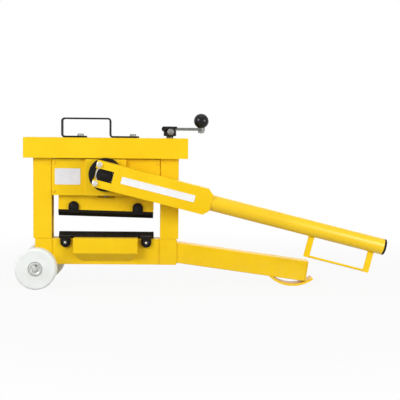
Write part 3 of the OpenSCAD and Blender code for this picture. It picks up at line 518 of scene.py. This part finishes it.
def addBlock(bm, low, high, place, ease, segments):
    # a block from its two corners in millimetres, with its edges rounded
    before = set(bm.verts)
    low, high = Vector(low), Vector(high)
    size, middle = (high - low) * mm, (high + low) * 0.5 * mm
    bmesh.ops.create_cube(bm, size=1, matrix=Matrix.Translation(middle) @ Matrix.Diagonal((*size, 1)))
    bmesh.ops.bevel(bm, geom=edgesOf(added(bm, before)), offset=ease * mm, segments=segments,
                    profile=0.5, affect="EDGES", clamp_overlap=True, material=-1)
    settle(bm, before, place)


def sampled(points, step, closed):
    # points along a run of straight stretches, a step apart
    stops = points + points[:1] if closed else points
    found = []
    for a, b in zip(stops, stops[1:]):
        count = max(1, round((b - a).length / step))
        found += [a.lerp(b, i / count) for i in range(count)]
    return found if closed else found + [stops[-1]]


def addSwept(bm, ring, path, closed=False, ripple=(1.0,)):
    # carries a ring, drawn flat about the origin, along a path; the ripple swells it step by step
    before = set(bm.verts) - set(ring)
    stops = path[1:] + path[:1] if closed else path[1:]
    heading = (path[1] - path[-1] if closed else path[1] - path[0]).normalized()
    start = Matrix.Translation(path[0]) @ heading.to_track_quat("Z", "Y").to_matrix().to_4x4()
    bmesh.ops.transform(bm, verts=ring, matrix=start)
    first, here = ring, path[0]
    for i, stop in enumerate(path[1:], 1):
        ring = onlyVerts(bmesh.ops.extrude_edge_only(bm, edges=edgesOf(ring)))
        nextHeading = (stops[min(i, len(stops) - 1)] - here).normalized()
        swing = heading.rotation_difference(nextHeading).to_matrix().to_4x4()
        grow = ripple[i % len(ripple)] / ripple[(i - 1) % len(ripple)]
        step = Matrix.Translation(stop) @ swing @ Matrix.Scale(grow, 4) @ Matrix.Translation(-here)
        bmesh.ops.transform(bm, verts=ring, matrix=step)
        heading, here = nextHeading, stop
    if closed:
        bmesh.ops.bridge_loops(bm, edges=edgesOf(ring) + edgesOf(first))
    else:
        for end in (first, ring):
            bmesh.ops.contextual_create(bm, geom=edgesOf(end))
    settle(bm, before, Matrix.Identity(4))


weldSet = {"sides": 8, "step": 0.9, "ripple": (0.92, 1.0, 1.08, 1.0)}


def addWeld(bm, points, radius, closed=True):
    # a bead laid along the points, rippled as a hand-laid weld is
    path = sampled([Vector(p) for p in points], weldSet["step"] * radius * mm, closed)
    ring = bmesh.ops.create_circle(bm, segments=weldSet["sides"], radius=radius * mm)["verts"]
    addSwept(bm, ring, path, closed, weldSet["ripple"])


def bent(points, radius, count):
    # a run of straight stretches with its corners bent to a radius
    path = [points[0]]
    for a, corner, b in zip(points, points[1:], points[2:]):
        u, v = (a - corner).normalized(), (b - corner).normalized()
        half = u.angle(v) / 2
        start, end = (corner + way * (radius / math.tan(half)) for way in (u, v))
        centre = corner + (u + v).normalized() * (radius / math.sin(half))
        axis = (start - centre).cross(end - centre)
        for i in range(count + 1):
            turn = Matrix.Rotation((math.pi - 2 * half) * i / count, 3, axis)
            path.append(centre + turn @ (start - centre))
    return path + [points[-1]]


joints = {joint["name"]: joint for joint in frame["joints"]}
shaftX, _, shaftZ = joints["lever_swing"]["pos_m"]
leverTilt = math.radians(14)  # down from level
leverPlace = Matrix.Translation((shaftX, 0, shaftZ)) @ Matrix.Rotation(leverTilt, 4, "Y")
print("helpers ready")

# rolled and folded steel: these solids keep their shape, with edges rounded as the sheet or bar has them
solidSet = {
    "yellowPaint": {"edge": "yellowEdgeWearAndHighlight", "slot": "yellow_paint", "widths": {
        "base_channel": 2.0, "left_post": 2.5, "right_post": 2.5, "post_caps": 1.0, "top_cover": 2.5,
        "support_leg": 3.5, "leg_end_plate": 1.2, "skid_foot": 1.2, "axle_tube": 1.0,
        "front_table": 1.4, "rear_table": 1.4, "head_front_cheek": 0.8, "head_rear_cheek": 0.8,
        "left_guide": 0.8, "right_guide": 0.8, "front_bearing_plate": 1.2, "rear_bearing_plate": 1.2,
        "lever_box": 2.2, "hand_loop": 1.2, "upper_beam": 1.2}},
    "blackBlade": {"edge": "bladeEdge", "slot": "black_steel", "widths": {
        "lower_blade": 1.0, "upper_blade": 1.0}},
    "blackOxide": {"edge": "blackOxide", "slot": "black_steel", "widths": {
        "eccentric_shaft": 0.8, "lever_flange": 1.0, "drive_chain": 0.25}},
    "zincPlate": {"edge": "zincPlate", "slot": "zinc_steel", "widths": {
        "axle_rod": 1.0, "front_wheel_bush": 0.5, "rear_wheel_bush": 0.5, "axle_washers": 0.4,
        "shaft_collar": 1.0, "left_sprocket": 0.4, "right_sprocket": 0.4, "spindle_seats": 0.8}},
    "dullSteel": {"edge": "dullSteel", "slot": "zinc_steel", "widths": {"crank_arm": 1.2}},
    "oiledSteel": {"edge": "oiledSteel", "slot": "zinc_steel", "widths": {
        "thrust_block": 1.0, "rocking_pin": 1.0}},
    "bronzeBush": {"edge": "bronzeBush", "slot": "bronze", "widths": {
        "front_shaft_bush": 0.5, "rear_shaft_bush": 0.5, "spindle_nuts": 0.5, "spindle_collars": 0.5}},
}
# join in metres, flat, bevelFrom and smoothTo in degrees between neighbouring faces
shadeSet = {"join": 1e-5, "flat": 0.5, "bevelFrom": 35, "smoothTo": 38, "segments": 3}


def makeShadeGroup(limit):
    # smooth faces, with the edges past the limit left sharp
    tree = bpy.data.node_groups.new("turnedShade", "GeometryNodeTree")
    for way in ("INPUT", "OUTPUT"):
        tree.interface.new_socket("Geometry", in_out=way, socket_type="NodeSocketGeometry")
    given, out = tree.nodes.new("NodeGroupInput"), tree.nodes.new("NodeGroupOutput")
    angle = tree.nodes.new("GeometryNodeInputMeshEdgeAngle")
    under = tree.nodes.new("FunctionNodeCompare")
    under.operation = "LESS_EQUAL"
    under.inputs["B"].default_value = math.radians(limit)
    tree.links.new(angle.outputs["Unsigned Angle"], under.inputs["A"])
    edges, faces = (tree.nodes.new("GeometryNodeSetShadeSmooth") for _ in range(2))
    edges.domain = "EDGE"
    tree.links.new(given.outputs[0], edges.inputs["Geometry"])
    tree.links.new(under.outputs["Result"], edges.inputs["Shade Smooth"])
    tree.links.new(edges.outputs[0], faces.inputs["Geometry"])
    tree.links.new(faces.outputs[0], out.inputs[0])
    return tree


shadeGroup = makeShadeGroup(shadeSet["smoothTo"])


def finishSolid(name, finish, edgeFinish, width, c=shadeSet):
    solid = nodes[name]
    solid.data.materials.clear()
    solid.data.materials.append(materials[finish])
    solid.data.materials.append(materials[edgeFinish])
    join = solid.modifiers.new("join", "WELD")
    join.merge_threshold = c["join"]
    flat = solid.modifiers.new("flat", "DECIMATE")
    flat.decimate_type = "DISSOLVE"
    flat.angle_limit = math.radians(c["flat"])
    edge = solid.modifiers.new("edge", "BEVEL")
    edge.limit_method = "ANGLE"
    edge.angle_limit = math.radians(c["bevelFrom"])
    edge.width = width * mm
    edge.segments = c["segments"]
    # the rounded edges take the group's edge finish; on the yellow paint its paler tint is a painted
    # highlight
    edge.material = 1
    edge.use_clamp_overlap = True
    shade = solid.modifiers.new("shade", "NODES")
    shade.node_group = shadeGroup
    even = solid.modifiers.new("even", "WEIGHTED_NORMAL")
    even.keep_sharp = True


for finishName, group in solidSet.items():
    for nodeName, edgeWidth in group["widths"].items():
        finishSolid(nodeName, finishName, group["edge"], edgeWidth)
print("solids finished:", sum(len(g["widths"]) for g in solidSet.values()))

# wheels: turned from cast nylon, with a shallow dish and a hollow for the cap
wheelSet = {"edge": 6.5, "bore": 16, "hub": 29.5, "web": 3.0, "rim": 60.5, "dish": 0.7,
            "hollow": 25, "hollowDeep": 9, "ease": 0.6, "steps": 128}
wheelLow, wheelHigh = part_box("front_wheel")
axleX, axleZ = middleOf("front_wheel").x, middleOf("front_wheel").z
wheelWide, wheelRound = (wheelHigh.y - wheelLow.y) / mm, (wheelHigh.x - wheelLow.x) / 2 / mm
wheelPlaces = {
    "front_wheel": Matrix.Translation((axleX, wheelHigh.y, axleZ)) @ toFront,
    "rear_wheel": Matrix.Translation((axleX, -wheelHigh.y, axleZ)) @ toBack,
}


def wheelOutline(c, radius, wide):
    e, hub, rim, ease = c["edge"], c["hub"], c["rim"], c["ease"]
    back = [(c["bore"], 0), (hub, 0), (hub + 2, c["web"]), (rim - 2, c["web"]), (rim, 0)]
    tread = arc((radius - e, e), e, -90, -4, 9) + arc((radius - e, wide - e), e, 4, 90, 9)
    face = [(rim, wide), (rim - 1.2, wide - 0.2), (hub + 3.5, wide - c["dish"]),
            (hub + 1, wide - 0.2), (hub - 0.5, wide)]
    well = arc((c["hollow"] + ease, wide - ease), ease, 90, 180, 4)
    floor = [(c["hollow"], wide - c["hollowDeep"]), (c["bore"], wide - c["hollowDeep"])]
    return back + tread + face + well + floor


outline = wheelOutline(wheelSet, wheelRound, wheelWide)
for wheelName, wheelPlace in wheelPlaces.items():
    bm = bmesh.new()
    addTurned(bm, outline, wheelPlace, wheelSet["steps"], closed=True)
    addPiece(wheelName + "_turned", bm, wheelName, "castNylon", [wheelName], 0.5)
print("wheels turned")

# pressed caps on the axle's ends, each with a bent pin in its groove
capOutline = [(0, 46.3), (7.5, 46.1), (9.5, 45.6), (11.2, 44.8), (12.6, 44.5), (14.2, 45.0),
              (16, 46.1), (17.6, 46.6), (19.4, 46.5), (22.0, 45.8), (23.9, 45.0),
              (24.7, 44.2), (24.7, 39.5), (0, 39.5)]
capPin = {"low": (0.15, 10.1, 43), "high": (6.65, 15.1, 45.4), "ease": 0.9}
bm, pins = bmesh.new(), bmesh.new()
for wheelPlace in wheelPlaces.values():
    addTurned(bm, capOutline, wheelPlace, 72)
    addBlock(pins, capPin["low"], capPin["high"], wheelPlace, capPin["ease"], 3)
addPiece("hub_caps", bm, "frame", "paleSteel", ["axle_caps"], 0.5)
addPiece("hub_cap_pins", pins, "frame", "blackOxide")
print("hub caps pressed")

# bolts: hexagons with turned-off corners on plain washers, and a threaded end standing out of each nut
boltSet = {"across": 1.6, "tall": 0.65, "washer": 1.8, "washerRound": 2.0, "washerOver": 1.18,
           "pitch": 1.75, "threadDeep": 0.9, "out": 3.0}


def addHead(bm, d, place, c=boltSet):
    wide = d * c["across"]
    addWasher(bm, d, max(d * c["washerRound"], c["washerOver"] * wide), 0, c["washer"], place)
    addHex(bm, wide, d * c["tall"] - c["washer"], place @ at(z=c["washer"]))


def addThreadEnd(bm, d, start, end, place, c=boltSet):
    # ridges of a short threaded end, with its last turn chamfered off
    r, outline = d / 2, [(0, start)]
    for i in range(max(1, int((end - start) / c["pitch"]))):
        low = start + i * c["pitch"]
        outline += [(r - c["threadDeep"], low), (r, low + 0.5 * c["pitch"])]
    outline += [(r - c["threadDeep"], end), (0, end)]
    addTurned(bm, outline, place, 32)


def addBoltThrough(bm, d, reach, place, c=boltSet):
    # runs from a head in front to a nut behind, each of them the reach away from the place
    behind = place @ at(y=reach) @ toBack
    addHead(bm, d, place @ at(y=-reach) @ toFront)
    addHead(bm, d, behind)
    addThreadEnd(bm, d, -2 * reach, d * c["tall"] + c["out"], behind)


def boltEnds(name, d):
    # where the two bolts of a node stand, from its box and a head's corners
    low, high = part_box(name)
    corner = d * boltSet["across"] / 2 / math.cos(math.pi / 6) * mm
    return low.x + corner, high.x - corner


bladeBolts = {"d": 12, "lowerReach": 39, "upperReach": 28, "upperOut": 111, "underPin": 56, "tilt": 1.4}
glintDisc = [(0, 0.9), (2.2, 0.8), (3.9, 0.4), (4.6, -0.4), (0, -0.4)]  # bright zinc disc on the middle of each bolt's head, a painted glint
low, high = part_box("lower_blade_bolts")
boltZ = (low.z + high.z) / 2
bm, glintDiscs = bmesh.new(), bmesh.new()
for boltX in boltEnds("lower_blade_bolts", bladeBolts["d"]):
    addBoltThrough(bm, bladeBolts["d"], bladeBolts["lowerReach"], Matrix.Translation((boltX, 0, boltZ)))
    # a bright zinc disc on each black head stands in for the glint it catches: a painted glint
    addTurned(glintDiscs, glintDisc, Matrix.Translation((boltX, low.y, boltZ)) @ toFront, 32)
addPiece("lower_blade_fixings", bm, "frame", "blackOxide", ["lower_blade_bolts"])
addPiece("lower_bolt_glints", glintDiscs, "frame", "zincPaintedHighlight")

beamTilt = Matrix.Rotation(math.radians(bladeBolts["tilt"]), 4, "Y")
beamPlace = Matrix.Translation(joints["beam_rock"]["pos_m"]) @ beamTilt
bm = bmesh.new()
for side in (-1, 1):
    boltPlace = beamPlace @ at(side * bladeBolts["upperOut"], 0, -bladeBolts["underPin"])
    addBoltThrough(bm, bladeBolts["d"], bladeBolts["upperReach"], boltPlace)
addPiece("upper_blade_fixings", bm, "upper_jaw", "blackOxide", ["upper_blade_bolts"])

# the head's screws have low round heads, painted over with the head
screwSet = {"round": 6, "tall": 4}
screwOutline = [(0, 2.5), (2.1, 2.6), (2.4, 3.7), (3.2, 3.9), (4.4, 3.4), (5.3, 2.4), (5.8, 1.2),
                (6, 0.3), (6, -0.5), (0, -0.5)]
low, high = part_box("head_screws")
inset, tall = screwSet["round"] * mm, screwSet["tall"] * mm
bm = bmesh.new()
for faceY, face in ((low.y + tall, toFront), (high.y - tall, toBack)):
    for screwX in (low.x + inset, high.x - inset):
        for screwZ in (low.z + inset, high.z - inset):
            addTurned(bm, screwOutline, Matrix.Translation((screwX, faceY, screwZ)) @ face, 32)
addPiece("head_screw_heads", bm, "head", "yellowEdgeWearAndHighlight", ["head_screws"], 0.7)
print("bolts and screws made")

# crank: a turned hub pinched on the spindle, a flat arm and a ball
hubOutline = [(0, 36), (8, 36), (8.8, 35.3), (17, 35.3), (18, 36), (24.6, 36), (26, 34.6),
              (26, 29), (25, 28), (22.5, 27.6), (22, 27), (22, 22.5), (21.2, 21.9), (21.2, 20.6),
              (22, 20), (22, 4), (20.4, 2.4), (12.5, 2.4), (12.5, 0), (0, 0)]
hubLow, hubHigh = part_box("crank_hub")
hubPlace = Matrix.Translation(((hubLow.x + hubHigh.x) / 2, 0, hubLow.z))
bm = bmesh.new()
addTurned(bm, hubOutline, hubPlace, 80)
addPiece("crank_hub_turned", bm, "crank", "blackOxide", ["crank_hub"], 0.5)

pinchSet = {"aside": 3, "up": 1.5, "stem": 14, "washer": 23, "washerFrom": 10, "washerThick": 1.6,
            "across": 20, "end": 19.1}
low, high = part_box("crank_screw")
screwPlace = Matrix.Translation((hubPlace.translation.x, high.y, (low.z + high.z) / 2))
screwPlace = screwPlace @ at(pinchSet["aside"], 0, pinchSet["up"]) @ toFront
stem, start, thick = pinchSet["stem"], pinchSet["washerFrom"], pinchSet["washerThick"]
seat = start + thick
bm = bmesh.new()
addWasher(bm, stem, pinchSet["washer"], start, thick, screwPlace)
addHex(bm, pinchSet["across"], pinchSet["end"] - seat, screwPlace @ at(z=seat))
addRod(bm, stem, 0, pinchSet["end"] - 1, screwPlace)
addPiece("crank_pinch_screw", bm, "crank", "dullSteel", ["crank_screw"])

# cross pin through the hub's rim, beside the spindle
crossPin = {"at": (-19.6, 0, 27.4), "half": [(9, 23.5), (7.2, 24.9), (5.6, 24.9), (5, 25.5), (0, 25.5)]}
pinOutline = [(r, -h) for r, h in reversed(crossPin["half"])] + crossPin["half"]
bm = bmesh.new()
addTurned(bm, pinOutline, hubPlace @ at(*crossPin["at"]) @ toFront, 48)
addPiece("crank_cross_pin", bm, "crank", "blackOxide")

knobSet = {"round": 26, "lift": 24, "ferrule": 12.5, "ferruleTall": 1.6, "ease": 0.4}
low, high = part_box("ball_knob")
knobPlace = Matrix.Translation(((low.x + high.x) / 2, 0, low.z))
ferrule, ease = knobSet["ferrule"], knobSet["ease"]
knobOutline = [(0, knobSet["lift"] + knobSet["round"])]
knobOutline += arc((0, knobSet["lift"]), knobSet["round"], 88, -58, 40)
knobOutline += [(ferrule, knobSet["ferruleTall"]), (ferrule, ease), (ferrule - ease, 0), (0, 0)]
bm = bmesh.new()
addTurned(bm, knobOutline, knobPlace, 96)
addPiece("ball_knob_turned", bm, "crank", "blackPhenolic", ["ball_knob"], 0.7)

nutSet = {"across": 19.2, "tall": 7.8, "stud": 12, "studFrom": -1.5, "studTo": 17.8}
nutPlace = Matrix.Translation((knobPlace.translation.x, 0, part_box("knob_nut")[0].z))
bm = bmesh.new()
addHex(bm, nutSet["across"], nutSet["tall"], nutPlace)
addThreadEnd(bm, nutSet["stud"], nutSet["studFrom"], nutSet["studTo"], nutPlace)
addPiece("knob_lock_nut", bm, "crank", "zincPlate", ["knob_nut"])
print("crank made")

# lever: everything on it is drawn along X from the shaft, and leverPlace tilts it
leverSet = {"out": 94, "front": 124, "noseAt": 372}
tubeSet = {"from": 312, "to": 983, "round": 27.5, "wall": 4}
alongTube = leverPlace @ at(y=-leverSet["out"]) @ Matrix.Rotation(math.radians(90), 4, "Y")
tubeFrom, tubeTo, tubeRound = tubeSet["from"], tubeSet["to"], tubeSet["round"]
tubeBore = tubeRound - tubeSet["wall"]
tubeOutline = [(tubeRound, tubeFrom), (tubeRound, tubeTo - 1.2), (tubeRound - 0.4, tubeTo - 0.4),
               (tubeRound - 1.2, tubeTo), (tubeBore, tubeTo), (tubeBore, tubeFrom)]
bm = bmesh.new()
addTurned(bm, tubeOutline, alongTube, 96, closed=True)
addPiece("handle_tube_drawn", bm, "lever", "drawnPaint", ["handle_tube"], 0.5)

# push-in plug with a rounded rim and grip ribs inside the tube
plugSet = {"out": 8, "rim": 4, "ribs": 4, "ribApart": 5, "ribDeep": 0.8, "in": 24}
plugEnd, rim = tubeTo + plugSet["out"], plugSet["rim"]
plugOutline = [(0, plugEnd - 0.8), (16, plugEnd - 0.6), (20, plugEnd)]
plugOutline += arc((tubeRound - rim, plugEnd - rim), rim, 90, 0, 6)
plugOutline += [(tubeRound, tubeTo + 0.8), (tubeRound - 0.8, tubeTo), (tubeBore, tubeTo)]
for rib in range(plugSet["ribs"]):
    ribAt = tubeTo - plugSet["ribApart"] * rib
    plugOutline += [(tubeBore, ribAt - 3), (tubeBore - plugSet["ribDeep"], ribAt - 5)]
plugOutline += [(tubeBore - 2, tubeTo - plugSet["in"]), (0, tubeTo - plugSet["in"])]
bm = bmesh.new()
addTurned(bm, plugOutline, alongTube, 72)
addPiece("end_plug_moulded", bm, "lever", "blackRubber", ["end_plug"], 0.6)

leverBolts = {"along": -24, "apart": 65, "hole": 10, "washer": 19.5, "across": 15.5, "tall": 6.4,
              "seat": 1.7, "turn": 0.4, "stem": 14, "stemFrom": -67, "stemTo": 2}
bm = bmesh.new()
for side in (-1, 1):
    boltPlace = leverPlace @ at(leverBolts["along"], -leverSet["front"], side * leverBolts["apart"] / 2)
    boltPlace = boltPlace @ toFront
    turned = Matrix.Rotation(leverBolts["turn"] * side, 4, "Z")
    addWasher(bm, leverBolts["hole"], leverBolts["washer"], 0, boltSet["washer"], boltPlace)
    addHex(bm, leverBolts["across"], leverBolts["tall"], boltPlace @ at(z=leverBolts["seat"]) @ turned)
    addRod(bm, leverBolts["stem"], leverBolts["stemFrom"], leverBolts["stemTo"], boltPlace)
# the lever's bolts take the lit copy of the zinc, whose extra lightness is a painted highlight
addPiece("lever_fixings", bm, "lever", "zincPaintedHighlight", ["lever_bolts"])

# the boss's outer end: a turned rim in pale steel, its paleness a painted highlight along the boss's
# edge, and a retaining plate with its screw
bossHighlightRim = [(27.4, 0.2), (28.8, 0.9), (30.4, 0.1), (31.5, -1.4), (31.5, -6), (30.5, -6.4), (27.4, -3)]
bossPlate = [(0, 3.4), (11, 3.4), (12, 4), (23.4, 4), (25.8, 3.6), (27.2, 2.4), (27.2, 0), (0, 0)]
bossScrew = {"across": 19.2, "tall": 4.2, "seat": 3.6}
bossPlace = Matrix.Translation((shaftX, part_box("shaft_end_ring")[1].y, shaftZ)) @ toFront
bm = bmesh.new()
addTurned(bm, bossHighlightRim, bossPlace, 96, closed=True)
addPiece("boss_highlight_rim", bm, "lever", "paleSteel")
bm = bmesh.new()
addTurned(bm, bossPlate, bossPlace, 96)
addHex(bm, bossScrew["across"], bossScrew["tall"], bossPlace @ at(z=bossScrew["seat"]))
addPiece("boss_plate", bm, "lever", "blackOxide", ["shaft_end_ring"], 0.5)
print("lever made")

# carry handle: one flat strap bent at four corners, lying on the cover
carrySet = {"thick": 6, "wide": 30, "long": 173, "leftFoot": 88, "bend": 9, "edge": 1.6,
            "bolt": 12, "below": 8}


def roundedSheet(bm, wide, tall, corner, segments):
    # a flat face about the origin with rounded corners
    before = set(bm.verts)
    size = Matrix.Diagonal((wide * mm, tall * mm, 1, 1))
    bmesh.ops.create_grid(bm, x_segments=1, y_segments=1, size=0.5, matrix=size)
    bmesh.ops.bevel(bm, geom=added(bm, before), offset=corner * mm, segments=segments, profile=0.5,
                    affect="VERTICES", material=-1)
    return [f for f in bm.faces if f.verts[0] not in before]


low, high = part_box("carry_handle")
half = carrySet["thick"] / 2 * mm
leftX, rightX = low.x + half, low.x + carrySet["long"] * mm - half
topZ, footZ = high.z - half, low.z + half
turns = [(low.x + carrySet["leftFoot"] * mm, footZ), (leftX, footZ), (leftX, topZ), (rightX, topZ),
         (rightX, footZ), (high.x, footZ)]
bm = bmesh.new()
sheet = roundedSheet(bm, carrySet["wide"], carrySet["thick"], carrySet["edge"], 3)
bmesh.ops.delete(bm, geom=sheet, context="FACES_ONLY")
addSwept(bm, bm.verts[:], bent([Vector((x, 0, z)) for x, z in turns], carrySet["bend"] * mm, 10))
addPiece("carry_strap", bm, "frame", "blackSatin", ["carry_handle"], 0.5)

boltLow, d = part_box("carry_handle_bolts")[0].z, carrySet["bolt"]
bm = bmesh.new()
for boltX in boltEnds("carry_handle_bolts", d):
    nutPlace = Matrix.Translation((boltX, 0, boltLow))
    addHead(bm, d, Matrix.Translation((boltX, 0, low.z + carrySet["thick"] * mm)))
    addHex(bm, d * boltSet["across"], d * boltSet["tall"], nutPlace)
    addThreadEnd(bm, d, 0, (low.z - boltLow) / mm + carrySet["below"], nutPlace)
addPiece("carry_fixings", bm, "frame", "zincPlate", ["carry_handle_bolts"])
print("carry handle bent")

# bare plate on the head and bare film on the lever, both with rounded corners and a raised border
plateSet = {"corner": 3, "border": 1.6, "deep": 0.12, "slope": 0.3}
filmSet = {"corner": 2, "border": 0.9, "deep": 0.08, "slope": 0.3, "from": 60, "size": (255, 24, 0.8)}


def addPlate(bm, size, c, place):
    # lies on the place's own plane, and stands up from it
    before = set(bm.verts)
    wide, tall, thick = size
    film = roundedSheet(bm, wide, tall, c["corner"], 6)
    raised = bmesh.ops.extrude_face_region(bm, geom=film, use_keep_orig=True)
    bmesh.ops.translate(bm, verts=onlyVerts(raised), vec=(0, 0, thick * mm))
    top = [g for g in raised["geom"] if isinstance(g, bmesh.types.BMFace)]
    bmesh.ops.inset_region(bm, faces=top, thickness=c["border"] * mm, depth=0)
    bmesh.ops.inset_region(bm, faces=top, thickness=c["slope"] * mm, depth=-c["deep"] * mm)
    settle(bm, before, place)


low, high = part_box("data_plate")
wide, deep, tall = (high - low) / mm
platePlace = Matrix.Translation(((low.x + high.x) / 2, high.y, (low.z + high.z) / 2)) @ toFront
bm = bmesh.new()
addPlate(bm, (wide, tall, deep), plateSet, platePlace)
addPiece("data_plate_bare", bm, "head", "plateGrey", ["data_plate"])
filmX = filmSet["from"] + filmSet["size"][0] / 2
bm = bmesh.new()
addPlate(bm, filmSet["size"], filmSet, leverPlace @ at(filmX, -leverSet["front"]) @ toFront)
addPiece("lever_film_bare", bm, "lever", "labelWhite", ["lever_label"])
print("plates laid")

# spindles with a coarse trapezoid thread, spun up turn by turn between two plain ends
threadSet = {"round": 12, "root": 9.2, "pitch": 6, "flank": (1.6, 2.6, 5), "steps": 24,
             "from": 12, "foot": 14, "underCollar": 2, "overlap": 4}


def addThread(bm, start, end, place, c):
    before = set(bm.verts)
    root, crest, pitch = c["root"], c["round"], c["pitch"]
    steps = int(((end - start) / pitch - 1) * c["steps"])
    outline = list(zip((root, root, crest, crest, root), (0, *c["flank"], pitch)))
    verts = [bm.verts.new((r * mm, 0, (start + h) * mm)) for r, h in outline]
    edges = [bm.edges.new(pair) for pair in zip(verts, verts[1:])]
    bmesh.ops.spin(bm, geom=verts + edges, cent=(0, 0, 0), axis=(0, 0, 1),
                   dvec=(0, 0, pitch / c["steps"] * mm), angle=math.tau * steps / c["steps"],
                   steps=steps, use_merge=False)
    bmesh.ops.remove_doubles(bm, verts=added(bm, before), dist=2e-5)
    bmesh.ops.holes_fill(bm, edges=[e for e in bm.edges if e.is_boundary], sides=0)
    settle(bm, before, place)


for spindleName, spindleBody in (("left_spindle", "left_spindle"), ("right_spindle", "crank")):
    low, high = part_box(spindleName)
    spindlePlace = Matrix.Translation(((low.x + high.x) / 2, 0, low.z))
    threadEnd = (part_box("spindle_collars")[0].z - low.z) / mm - threadSet["underCollar"]
    d, topEnd = 2 * threadSet["round"], (high.z - low.z) / mm
    bm = bmesh.new()
    addRod(bm, d, 0, threadSet["foot"], spindlePlace, 48)
    addThread(bm, threadSet["from"], threadEnd, spindlePlace, threadSet)
    addRod(bm, d, threadEnd - threadSet["overlap"], topEnd, spindlePlace, 48)
    addPiece(spindleName + "_threaded", bm, spindleBody, "oiledSteel", [spindleName], 0.5)
print("spindles threaded")

# weld beads, painted over with the frame and the lever
beadSet = {"leg": 3.0, "axle": 2.6, "nose": 2.2, "loop": 1.8, "rod": 1.4}
legSet = {"tilt": math.radians(7.8), "drop": 48, "tall": 70, "deep": 60}
axleWeld = {"round": 20, "from": 8, "to": 172, "steps": 24}
loopSet = {"middle": 842, "long": 211, "barWide": 20, "barThick": 8, "drop": 72, "rod": 8,
           "weldUp": 0.3, "steps": 16}
noseSteps = 48


def oblong(wide, tall):
    return [(-wide / 2, -tall / 2), (wide / 2, -tall / 2), (wide / 2, tall / 2), (-wide / 2, tall / 2)]


def ringOf(radius, steps):
    return arc((0, 0), radius, 0, 360, steps)[:-1]


_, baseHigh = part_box("base_channel")
legZ = baseHigh.z - legSet["drop"] * mm
legRim = oblong(legSet["deep"], legSet["tall"] / math.cos(legSet["tilt"]))
axleRim = arc((0, 0), axleWeld["round"], axleWeld["from"], axleWeld["to"], axleWeld["steps"])
bm = bmesh.new()
addWeld(bm, [(baseHigh.x, y * mm, legZ + z * mm) for y, z in legRim], beadSet["leg"])
for side in (-1, 1):
    # round the axle tube where it passes the base's walls
    rim = [(axleX + x * mm, side * baseHigh.y, axleZ + z * mm) for x, z in axleRim]
    addWeld(bm, rim, beadSet["axle"], closed=False)
addPiece("frame_welds", bm, "frame", "yellowEdgeWearAndHighlight", (), 0.9)


def onLever(x, y, z):
    # a point on the lever, in millimetres from the tube's own line
    return leverPlace @ (Vector((x, y - leverSet["out"], z)) * mm)


noseRim = ringOf(tubeRound, noseSteps)
barRim = oblong(loopSet["barWide"], loopSet["barThick"])
rodRim = ringOf(loopSet["rod"] / 2, loopSet["steps"])
barZ, rodZ = loopSet["weldUp"] - tubeRound, loopSet["rod"] / 2 - tubeRound - loopSet["drop"]
bm = bmesh.new()
addWeld(bm, [onLever(leverSet["noseAt"], y, z) for y, z in noseRim], beadSet["nose"])
for side in (-1, 1):
    barX = loopSet["middle"] + side * loopSet["long"] / 2
    rodX = barX - side * loopSet["barWide"] / 2
    addWeld(bm, [onLever(barX + x, y, barZ) for x, y in barRim], beadSet["loop"])
    addWeld(bm, [onLever(rodX, y, rodZ + z) for y, z in rodRim], beadSet["rod"])
addPiece("lever_welds", bm, "lever", "yellowEdgeWearAndHighlight", (), 0.9)
print("welds laid")
